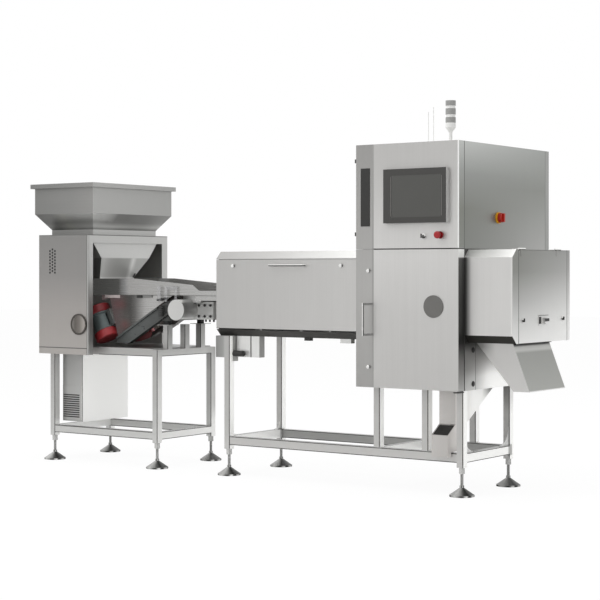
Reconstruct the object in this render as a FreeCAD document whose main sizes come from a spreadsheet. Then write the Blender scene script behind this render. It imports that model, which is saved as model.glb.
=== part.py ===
import FreeCAD, Part
import math
import os
import Sketcher

# X-ray inspection machine for loose food with a vibratory feeder in front of it.
# Millimetres, Z up, floor at Z 0. +X is the way the product travels, -Y is the operator's side.
# Positions along X count from the right side of the cabinet, along Y from the front of the doors.

SIZES = {
    "cabinet_right_x": 1313.25,
    "door_front_y": -480,
    "sheet_wall": 3,
    "cabinet_width": 630,
    "seam_height": 1290,
    "upper_height": 560,
    "seam_half": 3,
    "door_depth": 60,
    "door_gap": 2,
    "upper_depth": 1020,
    "rear_pan_depth": 43,
    "lower_depth": 665,
    "lower_bottom": 550,
    "band_width": 113,
    "band_thick": 2,
    "door_pivot_inset": 6,
    "door_pin_radius": 3,
    "running_gap": 0.05,
    "axial_gap": 0.4,
    "upper_hinge_radius": 5.5,
    "upper_hinge_low_rise": 71,
    "upper_hinge_high_rise": 464,
    "screen_left": -442,
    "screen_right": -57,
    "screen_low_rise": 136,
    "screen_high_rise": 421,
    "screen_proud": 28,
    "active_left": -388,
    "active_right": -90,
    "active_low_rise": 166,
    "active_high_rise": 386,
    "stop_x": -107,
    "stop_rise": 71,
    "stop_head_radius": 19,
    "stop_travel": 4,
    "key_x": -209,
    "key_rise": 67,
    "disc_x": -149,
    "disc_z": 988,
    "disc_radius": 59,
    "handle_low": 834,
    "handle_high": 997,
    "handle_standoff": 52,
    "handle_radius": 6,
    "lock_radius": 10,
    "lock_shaft_radius": 5,
    "lock_x": -553,
    "lock_low": 660,
    "lock_high_drop": 115,
    "hood_front": 62,
    "hood_back": 715,
    "hood_top": 1285,
    "hood_bottom": 800,
    "hood_chamfer_top": 1244,
    "hood_chamfer_low": 840,
    "hood_chamfer_deep": 42,
    "infeed_left": -1643.5,
    "infeed_right": -630,
    "outfeed_left": 0,
    "outfeed_right": 280,
    "cover_hinge_radius": 6,
    "cover_handle_left": -1242,
    "cover_handle_right": -1016,
    "flap_near": 130,
    "flap_far": 681,
    "flap_thick": 20,
    "flap_hinge_radius": 4.5,
    "belt_left": -1500,
    "belt_right": -265,
    "belt_near": 115,
    "belt_far": 515,
    "roller_radius": 30,
    "roller_z": 953,
    "axle_radius": 8,
    "tube_side": 40,
    "rail_low": 175,
    "rail_high": 224,
    "leg_bottom": 150,
    "leg_left_x": -1563,
    "leg_right_x": -25,
    "leg_near_y": 80,
    "leg_far_y": 586,
    "foot_radius": 66,
    "spindle_radius": 8,
    "nut_across": 30,
    "chute_near": 104,
    "chute_far": 506,
    "chute_left": 50,
    "chute_right": 262,
    "chute_toe": 263,
    "chute_end": 356,
    "chute_bottom": 556,
    "reject_left": -173,
    "reject_right": -75,
    "reject_near": 100,
    "reject_far": 520,
    "feeder_leg_left": -2938.5,
    "feeder_leg_right": -2101,
    "feeder_leg_near": 72.5,
    "feeder_leg_far": 581.8,
    "feeder_deck": 664,
    "case_left": -2964,
    "case_right": -2552,
    "case_near": -42,
    "case_far": 697,
    "case_top": 1395,
    "window_x": -2627,
    "window_z": 849,
    "window_radius": 64,
    "hopper_left": -3021.5,
    "hopper_right": -2495,
    "hopper_near": -60,
    "hopper_far": 714,
    "hopper_top": 1709,
    "hopper_rim": 27,
    "hopper_inset": 20,
    "hopper_box_low": 1524,
    "hopper_neck": 1428,
    "tray_near": 130,
    "tray_far": 500,
    "tray_wall": 3,
    "tray_left": -2875,
    "tray_step_x": -1850,
    "tray_right": -1450,
    "tray_upper_floor": 1027,
    "tray_lower_floor": 999,
    "beam_rise": 30,
    "motor_tilt": 16,
    "motor_radius": 55,
    "motor_cap_radius": 65,
    "motor_cap_length": 45,
    "motor_x": -2563,
    "motor_z": 758,
    "motor_near": 150,
    "motor_far": 480,
    "cross_tube_x": -1955,
    "cross_tube_z": 943,
    "cross_tube_radius": 61.5,
    "isolator_radius": 22,
    "isolator_low": 850,
    "isolator_high": 874,
    "beacon_radius": 27,
    "switch_rise": 169,
    "beacon_rise": 217,
}

os.makedirs("parts", exist_ok=True)
doc = FreeCAD.newDocument("XrayMachine")
sheet = doc.addObject("Spreadsheet::Sheet", "Sizes")
for row, (alias, amount) in enumerate(SIZES.items(), start=1):
    sheet.set("A" + str(row), alias)
    sheet.set("B" + str(row), str(amount))
    sheet.setAlias("B" + str(row), alias)
doc.recompute()


class Dim:
    """A length that keeps its sheet expression together with its value."""

    def __init__(self, text, value):
        self.text = text
        self.value = value

    def __add__(self, other):
        other = dim(other)
        return Dim("(" + self.text + " + " + other.text + ")", self.value + other.value)

    def __sub__(self, other):
        other = dim(other)
        return Dim("(" + self.text + " - " + other.text + ")", self.value - other.value)

    def __mul__(self, other):
        other = dim(other)
        return Dim("(" + self.text + " * " + other.text + ")", self.value * other.value)

    def __truediv__(self, other):
        other = dim(other)
        return Dim("(" + self.text + " / " + other.text + ")", self.value / other.value)

    def __radd__(self, other):
        return dim(other) + self

    def __rsub__(self, other):
        return dim(other) - self

    def __rmul__(self, other):
        return dim(other) * self

    def __neg__(self):
        return dim(0) - self


def dim(amount):
    if isinstance(amount, Dim):
        return amount
    amount = float(amount)
    if amount < 0:
        return Dim("(0 - " + repr(-amount) + ")", amount)
    return Dim(repr(amount), amount)


class Names:
    """Hands out sizes of the sheet by alias."""

    def __getattr__(self, alias):
        return Dim("Sizes." + alias, float(sheet.get(alias)))


S = Names()
NODES = []


def tangent(angle):
    return Dim("tan(" + angle.text + ")", math.tan(math.radians(angle.value)))


def X(offset):
    return S.cabinet_right_x + offset


def Y(offset):
    return S.door_front_y + offset


def bind(thing, prop, amount):
    thing.setExpression(prop, dim(amount).text)


def put(thing, x, y, z):
    bind(thing, "Placement.Base.x", x)
    bind(thing, "Placement.Base.y", y)
    bind(thing, "Placement.Base.z", z)


def turn(thing, axis, angle):
    thing.Placement = FreeCAD.Placement(FreeCAD.Vector(0, 0, 0), FreeCAD.Rotation(axis, angle))


AXES = {
    "x": (FreeCAD.Vector(0, 1, 0), 90),
    "y": (FreeCAD.Vector(1, 0, 0), -90),
    "z": (FreeCAD.Vector(0, 0, 1), 0),
}


def block(x0, x1, y0, y1, z0, z1):
    made = doc.addObject("Part::Box", "Block")
    bind(made, "Length", dim(x1) - x0)
    bind(made, "Width", dim(y1) - y0)
    bind(made, "Height", dim(z1) - z0)
    put(made, x0, y0, z0)
    return made


def rod(axis, x, y, z, length, radius):
    made = doc.addObject("Part::Cylinder", "Rod")
    turn(made, *AXES[axis])
    bind(made, "Radius", radius)
    bind(made, "Height", length)
    put(made, x, y, z)
    return made


def cone(axis, x, y, z, length, start_radius, end_radius):
    made = doc.addObject("Part::Cone", "Cone")
    turn(made, *AXES[axis])
    bind(made, "Radius1", start_radius)
    bind(made, "Radius2", end_radius)
    bind(made, "Height", length)
    put(made, x, y, z)
    return made


def ball(x, y, z, radius):
    made = doc.addObject("Part::Sphere", "Ball")
    bind(made, "Radius", radius)
    put(made, x, y, z)
    return made


def wedge(low, low_z, high, high_z):
    """Straight loft between two upright-facing rectangles given as (x0, x1, y0, y1)."""
    made = doc.addObject("Part::Wedge", "Taper")
    turn(made, FreeCAD.Vector(1, 0, 0), 90)
    bind(made, "Ymin", low_z)
    bind(made, "Ymax", high_z)
    bind(made, "Xmin", low[0])
    bind(made, "Xmax", low[1])
    bind(made, "Zmin", -dim(low[3]))
    bind(made, "Zmax", -dim(low[2]))
    bind(made, "X2min", high[0])
    bind(made, "X2max", high[1])
    bind(made, "Z2min", -dim(high[3]))
    bind(made, "Z2max", -dim(high[2]))
    return made


def fuse(*things):
    made = doc.addObject("Part::MultiFuse", "Joined")
    made.Shapes = list(things)
    return made


def group(*things):
    made = doc.addObject("Part::Compound", "Group")
    made.Links = list(things)
    return made


def cut(base, *tools):
    made = doc.addObject("Part::Cut", "Cut")
    made.Base = base
    made.Tool = tools[0] if len(tools) == 1 else fuse(*tools)
    return made


def tube(axis, x, y, z, length, outer, inner):
    return cut(rod(axis, x, y, z, length, outer), rod(axis, x, y, z, length, inner))


def prism(plane, corners, start, end):
    """Polygon drawn on an origin plane of its own body and padded from start to end."""
    body = doc.addObject("PartDesign::Body", "Profile")
    sketch = body.newObject("Sketcher::SketchObject", "Outline")
    planes = [item for item in body.Origin.OriginFeatures if item.Role == plane + "_Plane"]
    sketch.AttachmentSupport = [(planes[0], "")]
    sketch.MapMode = "FlatFace"
    corners = [(dim(u), dim(v)) for u, v in corners]
    count = len(corners)
    for index in range(count):
        a = corners[index]
        b = corners[(index + 1) % count]
        first = FreeCAD.Vector(a[0].value, a[1].value, 0)
        second = FreeCAD.Vector(b[0].value, b[1].value, 0)
        sketch.addGeometry(Part.LineSegment(first, second), False)
    for index in range(count):
        sketch.addConstraint(Sketcher.Constraint("Coincident", index, 2, (index + 1) % count, 1))
    for index, (u, v) in enumerate(corners):
        for kind, amount in (("DistanceX", u), ("DistanceY", v)):
            place = sketch.addConstraint(Sketcher.Constraint(kind, -1, 1, index, 1, amount.value))
            sketch.setExpression("Constraints[" + str(place) + "]", amount.text)
    offset = -dim(end) if plane == "XZ" else dim(start)
    sketch.setExpression("AttachmentOffset.Base.z", offset.text)
    pad = body.newObject("PartDesign::Pad", "Pad")
    pad.Profile = sketch
    bind(pad, "Length", dim(end) - start)
    body.Tip = pad
    return body


def node(label, thing):
    thing.Label = label
    NODES.append(thing)
    return thing


wall = S.sheet_wall
half_seam = S.seam_half
left = X(-S.cabinet_width)
right = X(0)
front = Y(0)
door_back = Y(S.door_depth)
housing_front = Y(S.door_depth + S.door_gap)


# Stand of the machine

def leg(x, y, z_top):
    half = S.tube_side / 2
    body = block(x - half, x + half, y - half, y + half, S.leg_bottom, z_top)
    return cut(body, rod("z", x, y, S.leg_bottom, 40, S.spindle_radius + 0.3))


def rail_gusset(x, y_edge, toward):
    size = 46
    if toward > 0:
        plate = block(x - 2, x + 2, y_edge, y_edge + size, S.rail_high, S.rail_high + size)
        return cut(plate, rod("x", x - 3, y_edge + size, S.rail_high + size, 6, size - 5))
    plate = block(x - 2, x + 2, y_edge - size, y_edge, S.rail_high, S.rail_high + size)
    return cut(plate, rod("x", x - 3, y_edge - size, S.rail_high + size, 6, size - 5))


def machine_frame():
    half = S.tube_side / 2
    xs = (X(S.leg_left_x), X(S.leg_right_x))
    ys = (Y(S.leg_near_y), Y(S.leg_far_y))
    pieces = []
    for y in ys:
        pieces.append(leg(xs[0], y, S.hood_bottom))
        pieces.append(leg(xs[1], y, S.lower_bottom))
        pieces.append(block(xs[0] + half, xs[1] - half, y - half, y + half, S.rail_low, S.rail_high))
        for middle in (-539, -236):
            pieces.append(block(X(middle) - half, X(middle) + half, y - half, y + half,
                                S.rail_high, S.lower_bottom))
    for x in xs + (X(-539),):
        pieces.append(block(x - half, x + half, ys[0] + half, ys[1] - half,
                            S.rail_low, S.rail_high))
    for x in xs:
        pieces.append(rail_gusset(x, ys[0] + half, 1))
        pieces.append(rail_gusset(x, ys[1] - half, -1))
    return fuse(*pieces)


def feet(xs, ys):
    pads = []
    nuts = []
    for x in xs:
        for y in ys:
            disc = rod("z", x, y, 0, 9, S.foot_radius)
            skirt = cone("z", x, y, 9, 36, S.foot_radius - 2, S.spindle_radius + 4)
            neck = rod("z", x, y, 45, 12, S.spindle_radius + 4)
            spindle = rod("z", x, y, 50, S.leg_bottom + 30 - 50, S.spindle_radius)
            pads.append(fuse(disc, skirt, neck, spindle))
            ring = []
            for step in range(6):
                angle = math.radians(60 * step)
                ring.append((x + S.nut_across * (math.cos(angle) / 1.732),
                             y + S.nut_across * (math.sin(angle) / 1.732)))
            hexagon = prism("XY", ring, S.leg_bottom - 32, S.leg_bottom)
            nuts.append(cut(hexagon, rod("z", x, y, S.leg_bottom - 33, 34, S.spindle_radius)))
    return pads, nuts


node("main_frame", machine_frame())
machine_pads, machine_nuts = feet((X(S.leg_left_x), X(S.leg_right_x)),
                                  (Y(S.leg_near_y), Y(S.leg_far_y)))
feeder_pads, feeder_nuts = feet((X(S.feeder_leg_left), X(S.feeder_leg_right)),
                                (Y(S.feeder_leg_near), Y(S.feeder_leg_far)))
node("levelling_feet", group(*(machine_pads + feeder_pads)))
node("jam_nuts", group(*(machine_nuts + feeder_nuts)))


cabinet_top = S.seam_height + S.upper_height
upper_hinge_low = S.seam_height + S.upper_hinge_low_rise
upper_hinge_high = S.seam_height + S.upper_hinge_high_rise
screen_low = S.seam_height + S.screen_low_rise
screen_high = S.seam_height + S.screen_high_rise
active_low = S.seam_height + S.active_low_rise
active_high = S.seam_height + S.active_high_rise
stop_z = S.seam_height + S.stop_rise
key_z = S.seam_height + S.key_rise
lock_high = S.seam_height - S.lock_high_drop
switch_z = S.seam_height + S.switch_rise
deck_top = S.feeder_deck + 40


# Housings of the machine

tunnel_low = 860
tunnel_high = 1120


def lower_housing():
    back = Y(S.lower_depth)
    shell = block(left, right, housing_front, back, S.lower_bottom, S.seam_height)
    hollow = block(left + wall, right - wall, housing_front + wall, back - wall,
                   S.lower_bottom + wall, S.seam_height - wall)
    mouth = block(left + 35, right - 24, housing_front - 1, housing_front + wall + 1,
                  S.lower_bottom + 24, S.seam_height - 24)
    tunnel = block(left - 1, left + wall + 1, Y(88), Y(542), tunnel_low, tunnel_high)
    outfeed = block(right - wall - 1, right + 1, Y(100), Y(530), tunnel_low, tunnel_high)
    reject = block(X(S.reject_left) + wall, X(S.reject_right) - wall, Y(S.reject_near) + wall,
                   Y(S.reject_far) - wall, S.lower_bottom - 1, S.lower_bottom + wall + 1)
    return cut(shell, hollow, mouth, tunnel, outfeed, reject)


def upper_housing():
    back = Y(S.upper_depth - S.rear_pan_depth)
    shell = block(left, right, housing_front, back, S.seam_height, cabinet_top)
    hollow = block(left + wall, right - wall, housing_front + wall, back + 1,
                   S.seam_height + wall, cabinet_top - wall)
    mouth = block(left + 35, right - 24, housing_front - 1, housing_front + wall + 1,
                  S.seam_height + 24, cabinet_top - 24)
    switch_hole = rod("x", right - wall - 1, Y(426), switch_z, wall + 2, 9)
    return cut(shell, hollow, mouth, switch_hole)


def rear_pan():
    start = Y(S.upper_depth - S.rear_pan_depth)
    end = Y(S.upper_depth)
    pan = block(left, right, start, end, S.seam_height, cabinet_top)
    hollow = block(left + wall, right - wall, start - 1, end - wall,
                   S.seam_height + wall, cabinet_top - wall)
    return cut(pan, hollow)


node("lower_housing", lower_housing())
node("upper_housing", fuse(upper_housing(), rear_pan()))


# Hinge posts of the two doors

upper_axis_x = left - 3 - S.door_pivot_inset
upper_axis_y = front + S.door_pivot_inset
lower_axis_x = right - S.door_pivot_inset
lower_axis_y = front + S.door_pivot_inset
knuckle = 10


def hinge_posts():
    pieces = []
    radius = S.upper_hinge_radius
    for z in (upper_hinge_low, upper_hinge_high):
        pieces.append(rod("z", upper_axis_x, upper_axis_y, z, knuckle, radius))
        pieces.append(rod("z", upper_axis_x, upper_axis_y, z, 2 * knuckle - 2, radius / 2))
        pieces.append(block(upper_axis_x - 1.5, upper_axis_x + 1.5, upper_axis_y,
                            housing_front + 30, z, z + knuckle))
        pieces.append(block(upper_axis_x - 1.5, left, housing_front + 4, housing_front + 30,
                            z, z + knuckle))
    return [fuse(*pieces[0:4]), fuse(*pieces[4:8])]


def pivot_brackets():
    thick = S.seam_half
    low_plate = block(right - 30, right, lower_axis_y - S.door_pivot_inset,
                      Y(S.leg_near_y) - S.tube_side / 2,
                      S.lower_bottom - 3 * thick, S.lower_bottom - thick)
    low_pin = rod("z", lower_axis_x, lower_axis_y, S.lower_bottom - 2 * thick, 14 + 2 * thick,
                  S.door_pin_radius)
    seam_plate = block(right - 30, right, lower_axis_y - S.door_pivot_inset, housing_front,
                       S.seam_height - thick / 2, S.seam_height + thick / 2)
    high_pin = rod("z", lower_axis_x, lower_axis_y, S.seam_height - thick - 14, 14 + thick,
                   S.door_pin_radius)
    return [fuse(low_plate, low_pin), fuse(seam_plate, high_pin)]


node("hinge_posts", group(*(hinge_posts() + pivot_brackets())))


# Upper door

def door_pan(z0, z1):
    pan = block(left, right, front, door_back, z0, z1)
    hollow = block(left + wall, right - wall, front + 2 * wall, door_back + 1,
                   z0 + wall, z1 - wall)
    recess = block(left - 1, left + S.band_width - 3, front - 1, front + S.band_thick,
                   z0 - 1, z1 + 1)
    return pan, hollow, recess


def band(z0, z1):
    face = block(left - 3, left + S.band_width - 3, front, front + S.band_thick, z0, z1)
    fold = block(left - 3, left, front, door_back, z0, z1)
    return fuse(face, fold)


upper_z0 = S.seam_height + half_seam
upper_z1 = cabinet_top
screen = (X(S.screen_left), X(S.screen_right))
screen_pocket = block(screen[0] + 30, screen[1] - 30, front - 1, front + 2 * wall + 1,
                      screen_low + 20, screen_high - 20)
stop_hole = rod("y", X(S.stop_x), front - 1, stop_z, 20, 11)
key_hole = rod("y", X(S.key_x), front - 1, key_z, 20, 9)
pan, hollow, recess = door_pan(upper_z0, upper_z1)
node("upper_door_panel", cut(pan, hollow, recess, screen_pocket, stop_hole, key_hole))
node("upper_door_band", band(S.seam_height + 0.6, upper_z1))


def hinge_caps():
    pieces = []
    radius = S.upper_hinge_radius
    for z in (upper_hinge_low, upper_hinge_high):
        base = z + knuckle + S.axial_gap
        barrel = rod("z", upper_axis_x, upper_axis_y, base, knuckle, radius)
        web = block(upper_axis_x, left - 3, upper_axis_y - radius, upper_axis_y + radius,
                    base, base + knuckle)
        bore = rod("z", upper_axis_x, upper_axis_y, base - 1, knuckle - 0.6,
                   radius / 2 + S.running_gap)
        pieces.append(cut(fuse(barrel, web), bore))
    return group(*pieces)


node("upper_hinge_caps", hinge_caps())
node("blank_plate", block(X(-602), X(-544), front - 2, front, S.seam_height + 122,
                          S.seam_height + 433))


def screen_bezel():
    frame = block(screen[0], screen[1], front - S.screen_proud, front, screen_low, screen_high)
    window = block(X(S.active_left), X(S.active_right), front - S.screen_proud - 1,
                   front - S.screen_proud + 2, active_low, active_high)
    back = block(screen[0] + 30.5, screen[1] - 30.5, front, front + 46,
                 screen_low + 20.5, screen_high - 20.5)
    return cut(fuse(frame, back), window)


node("screen_unit", screen_bezel())
node("screen_glass", block(X(S.active_left), X(S.active_right), front - S.screen_proud + 0.6,
                           front - S.screen_proud + 2, active_low, active_high))


def stop_collar():
    outer = rod("y", X(S.stop_x), front - 9, stop_z, 9, S.stop_head_radius - 2)
    sleeve = rod("y", X(S.stop_x), front, stop_z, 32, 11)
    bore = rod("y", X(S.stop_x), front - 10, stop_z, 43, 7 + S.running_gap)
    return cut(fuse(outer, sleeve), bore)


def stop_button():
    head_back = front - 9 - S.stop_travel - S.axial_gap
    head = rod("y", X(S.stop_x), front - 40, stop_z, head_back - (front - 40),
               S.stop_head_radius)
    stem = rod("y", X(S.stop_x), head_back, stop_z, 45, 7)
    return fuse(head, stem)


def key_barrel():
    outer = rod("y", X(S.key_x), front - 5, key_z, 5, 13)
    sleeve = rod("y", X(S.key_x), front, key_z, 26, 9)
    bore = rod("y", X(S.key_x), front - 6, key_z, 33, 6 + S.running_gap)
    return cut(fuse(outer, sleeve), bore)


def key_piece():
    plug = rod("y", X(S.key_x), front - 5, key_z, 31, 6)
    shank = block(X(S.key_x) - 1.2, X(S.key_x) + 1.2, front - 16, front - 5,
                  key_z - 4, key_z + 4)
    bow = block(X(S.key_x) - 1.2, X(S.key_x) + 1.2, front - 32, front - 16,
                key_z - 11, key_z + 11)
    return fuse(plug, shank, bow)


node("panel_collars", group(stop_collar(), key_barrel()))
node("stop_button", stop_button())
node("key_switch", key_piece())


# Lower door

lower_z0 = S.lower_bottom + 1
lower_z1 = S.seam_height - half_seam


def lower_door():
    pan, hollow, recess = door_pan(lower_z0, lower_z1)
    corner_low = block(right - 24, right, front, front + 24, lower_z0, lower_z0 + 26)
    corner_high = block(right - 24, right, front, front + 24, lower_z1 - 26, lower_z1)
    bores = []
    bore_radius = S.door_pin_radius + S.running_gap
    bores.append(rod("z", lower_axis_x, lower_axis_y, lower_z0 - 1, 17, bore_radius))
    bores.append(rod("z", lower_axis_x, lower_axis_y, lower_z1 - 16, 17, bore_radius))
    for z in (S.lock_low, lock_high):
        bores.append(rod("y", X(S.lock_x), front - 1, z, 20, S.lock_shaft_radius + S.running_gap))
    shell = cut(pan, hollow, recess)
    return cut(fuse(shell, corner_low, corner_high), *bores)


def lower_band():
    holes = []
    for z in (S.lock_low, lock_high):
        holes.append(rod("y", X(S.lock_x), front - 1, z, 20, S.lock_shaft_radius + S.running_gap))
    return cut(band(lower_z0, S.seam_height - 0.6), *holes)


def bow_handle():
    bar_x = X(-554)
    foot_x = X(-531)
    y = front - S.handle_standoff
    radius = S.handle_radius
    bar = rod("z", bar_x, y, S.handle_low, S.handle_high - S.handle_low, radius)
    pieces = [bar]
    for z in (S.handle_low, S.handle_high):
        corners = ((foot_x - radius, front), (foot_x + radius, front),
                   (bar_x + radius, y), (bar_x - radius, y))
        pieces.append(prism("XY", corners, z - radius, z + radius))
        pieces.append(rod("z", bar_x, y, z - radius, 2 * radius, radius))
    return fuse(*pieces)


node("lower_door_panel", lower_door())
node("lower_door_band", lower_band())
node("door_handle", bow_handle())
node("round_disc", rod("y", X(S.disc_x), front - 4, S.disc_z, 4, S.disc_radius))


def front_lock(x, z, face_y, cam_y, reach, hangs):
    """Quarter-turn lock turning about Y; open, its cam hangs down or lies along -X."""
    radius = S.lock_radius
    shaft = rod("y", x, face_y - 0.4, z, cam_y + 4 - (face_y - 0.4), S.lock_shaft_radius)
    head = rod("y", x, face_y - 7, z, 6.6, radius)
    grip = block(x - radius + 1, x + radius - 1, face_y - 11, face_y - 7, z - 2, z + 2)
    if hangs:
        cam = block(x - 7, x + 7, cam_y, cam_y + 4, z - reach, z + 7)
    else:
        cam = block(x - reach, x + 7, cam_y, cam_y + 4, z - 7, z + 7)
    return fuse(shaft, head, grip, cam)


for label, z in (("door_lock_low", S.lock_low), ("door_lock_high", lock_high)):
    node(label, front_lock(X(S.lock_x), z, front, housing_front + wall + 4, 54, True))


# Infeed hood with its front cover

def hood_outline(shrink):
    """Side view of a hood as (y, z) corners, moved inward by shrink."""
    hood_y = Y(S.hood_front)
    slope = shrink * 0.42
    return (
        (hood_y + shrink, S.hood_chamfer_low + slope),
        (hood_y + S.hood_chamfer_deep + slope, S.hood_bottom + shrink),
        (Y(S.hood_back) - shrink, S.hood_bottom + shrink),
        (Y(S.hood_back) - shrink, S.hood_top - shrink),
        (hood_y + S.hood_chamfer_deep + slope, S.hood_top - shrink),
        (hood_y + shrink, S.hood_chamfer_top - slope),
    )


cover_axis_y = Y(S.hood_front) + S.cover_hinge_radius
cover_axis_z = S.hood_chamfer_low + 8
cover_top = S.hood_chamfer_top - 6
cover_left = X(S.infeed_left) + 0.5
cover_right = X(S.infeed_right) - 7


def cover_pins():
    radius = S.cover_hinge_radius / 2
    return [rod("x", X(S.infeed_left), cover_axis_y, cover_axis_z, 26, radius),
            rod("x", X(S.infeed_right) - 26, cover_axis_y, cover_axis_z, 26, radius)]


def infeed_hood():
    x0 = X(S.infeed_left)
    x1 = X(S.infeed_right)
    y0 = Y(S.hood_front)
    shell = prism("YZ", hood_outline(dim(0)), x0, x1)
    inside = prism("YZ", hood_outline(wall), x0 + wall, x1 - wall)
    opening = block(x0 - 1, x1 - 6, y0 - 1, y0 + 21.7, S.hood_chamfer_low - 2,
                    S.hood_chamfer_top - 4)
    mouth = block(x0 - 1, x0 + wall + 1, Y(112), Y(518), 988, 1092)
    tunnel = block(x1 - wall - 1, x1 + 1, Y(88), Y(542), tunnel_low, tunnel_high)
    body = cut(shell, inside, opening, mouth, tunnel)
    pieces = [body] + cover_pins()
    radius = S.cover_hinge_radius
    for start, end in ((x0, x0 + 8), (x1 - 8, x1)):
        eye = rod("x", start, cover_axis_y, cover_axis_z, end - start, radius)
        arm = block(start, end, cover_axis_y, y0 + 30, cover_axis_z - radius, cover_axis_z)
        pieces.append(fuse(eye, arm))
    return fuse(*pieces)


def hood_cover():
    y0 = Y(S.hood_front)
    radius = S.cover_hinge_radius
    low = cover_axis_z + radius + 2
    plate = block(cover_left, cover_right, y0, y0 + wall, low, cover_top)
    web = block(X(S.infeed_left) + 9, X(S.infeed_right) - 9, y0, y0 + wall, cover_axis_z, low)
    roll = rod("x", X(S.infeed_left) + 9, cover_axis_y, cover_axis_z,
               S.infeed_right - S.infeed_left - 18, radius)
    top = block(cover_left, cover_right, y0, y0 + 19.7, cover_top - wall, cover_top)
    side_a = block(cover_left, cover_left + wall, y0, y0 + 19.7, low, cover_top)
    side_b = block(cover_right - wall, cover_right, y0, y0 + 19.7, low, cover_top)
    bore = radius / 2 + S.running_gap
    holes = [rod("x", X(S.infeed_left), cover_axis_y, cover_axis_z, 28, bore)]
    holes.append(rod("x", X(S.infeed_right) - 28, cover_axis_y, cover_axis_z, 28, bore))
    for x in (-1520, -773):
        holes.append(rod("y", X(x), y0 - 1, 1203, 20, S.lock_shaft_radius + S.running_gap))
    return cut(fuse(plate, web, roll, top, side_a, side_b), *holes)


def cover_handle():
    radius = S.handle_radius - 1
    y0 = Y(S.hood_front)
    y = y0 - 30
    x0 = X(S.cover_handle_left)
    x1 = X(S.cover_handle_right)
    pieces = [rod("x", x0, y, 1205, x1 - x0, radius)]
    for x in (x0, x1):
        pieces.append(ball(x, y, dim(1205), radius))
        pieces.append(rod("y", x, y, 1205, 30, radius))
    return fuse(*pieces)


node("infeed_hood", infeed_hood())
node("hood_cover", hood_cover())
node("cover_handle", cover_handle())
for label, x in (("cover_lock_left", -1520), ("cover_lock_right", -773)):
    y0 = Y(S.hood_front)
    node(label, front_lock(X(x), dim(1203), y0, y0 + 21.7, 55, False))


# Outfeed hood with its end flap

flap_axis_x = X(S.outfeed_right) + 2
flap_axis_z = S.hood_top + 3
flap_knuckles = (126, 531)


def outfeed_hood():
    x0 = X(S.outfeed_left)
    x1 = X(S.outfeed_right)
    shell = prism("YZ", hood_outline(dim(0)), x0, x1)
    inside = prism("YZ", hood_outline(wall), x0 + wall, x1 - wall)
    end = block(x1 - S.flap_thick - 6, x1 + 1, Y(S.flap_near) - 0.5, Y(S.flap_far) + 0.5,
                S.hood_bottom - 1, S.hood_top - wall)
    relief = block(x1 - 1.8, x1 + 1, Y(S.flap_near) - 0.5, Y(S.flap_far) + 0.5,
                   S.hood_top - wall - 1, S.hood_top + 1)
    side = block(x0 - 1, x0 + wall + 1, Y(100), Y(530), tunnel_low, tunnel_high)
    drop = block(X(S.chute_left) + 4, X(S.chute_right) - 4, Y(S.chute_near) + 4,
                 Y(S.chute_far) - 4,
                 S.hood_bottom - 1, S.hood_bottom + wall + 1)
    catches = [block(x1 - S.flap_thick - 0.5, x1 - wall, Y(a), Y(b), 880, 960)
               for a, b in ((S.flap_near - 9, S.flap_near - 1), (S.flap_far + 1, S.flap_far + 9))]
    return fuse(cut(shell, inside, end, relief, side, drop), *catches)


def flap_hinge_fixed():
    pieces = []
    radius = S.flap_hinge_radius
    for y in flap_knuckles:
        leaf = block(X(S.outfeed_right) - 36, X(S.outfeed_right) - 5, Y(y), Y(y + 70),
                     S.hood_top, S.hood_top + 2.5)
        joined = [leaf]
        for a, b in ((y, y + 23), (y + 47, y + 70)):
            joined.append(rod("y", flap_axis_x, Y(a), flap_axis_z, dim(b - a), radius))
            joined.append(block(X(S.outfeed_right) - 6, flap_axis_x, Y(a), Y(b),
                                S.hood_top, S.hood_top + 2.5))
        joined.append(rod("y", flap_axis_x, Y(y), flap_axis_z, 70, radius / 2))
        pieces.append(fuse(*joined))
    return pieces


def flap_hinge_moving():
    pieces = []
    radius = S.flap_hinge_radius
    face = X(S.outfeed_right)
    for y in flap_knuckles:
        barrel = rod("y", flap_axis_x, Y(y + 23) + S.axial_gap, flap_axis_z,
                     24 - 2 * S.axial_gap, radius)
        strap = block(face, face + 2.5, Y(y + 23) + S.axial_gap, Y(y + 47) - S.axial_gap,
                      flap_axis_z - 34, flap_axis_z)
        bore = rod("y", flap_axis_x, Y(y + 22), flap_axis_z, 26, radius / 2 + S.running_gap)
        pieces.append(cut(fuse(barrel, strap), bore))
    return pieces


def end_flap():
    x1 = X(S.outfeed_right)
    x0 = x1 - S.flap_thick
    y0 = Y(S.flap_near)
    y1 = Y(S.flap_far)
    top = S.hood_top - wall - 1
    pan = block(x0, x1, y0, y1, S.hood_bottom + 1, top)
    hollow = block(x0 - 1, x1 - wall, y0 + wall, y1 - wall, S.hood_bottom + 1 + wall, top - wall)
    holes = []
    for y in (178, 629):
        holes.append(rod("x", x0, Y(y), 920, 30, S.lock_shaft_radius + S.running_gap))
    return cut(pan, hollow, *holes)


def flap_lock(y, reach):
    """Quarter-turn lock turning about X; the cam points down while it is open."""
    face = X(S.outfeed_right)
    cam_x = face - S.flap_thick - 6
    shaft = rod("x", cam_x, Y(y), 920, face + 0.4 - cam_x, S.lock_shaft_radius)
    head = rod("x", face + 0.4, Y(y), 920, 6.6, S.lock_radius)
    grip = block(face + 7, face + 11, Y(y - 2), Y(y + 2), 920 - S.lock_radius + 1,
                 920 + S.lock_radius - 1)
    cam = block(cam_x, cam_x + 4, Y(y - 7), Y(y + 7), 920 - reach, 927)
    return fuse(shaft, head, grip, cam)


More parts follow.
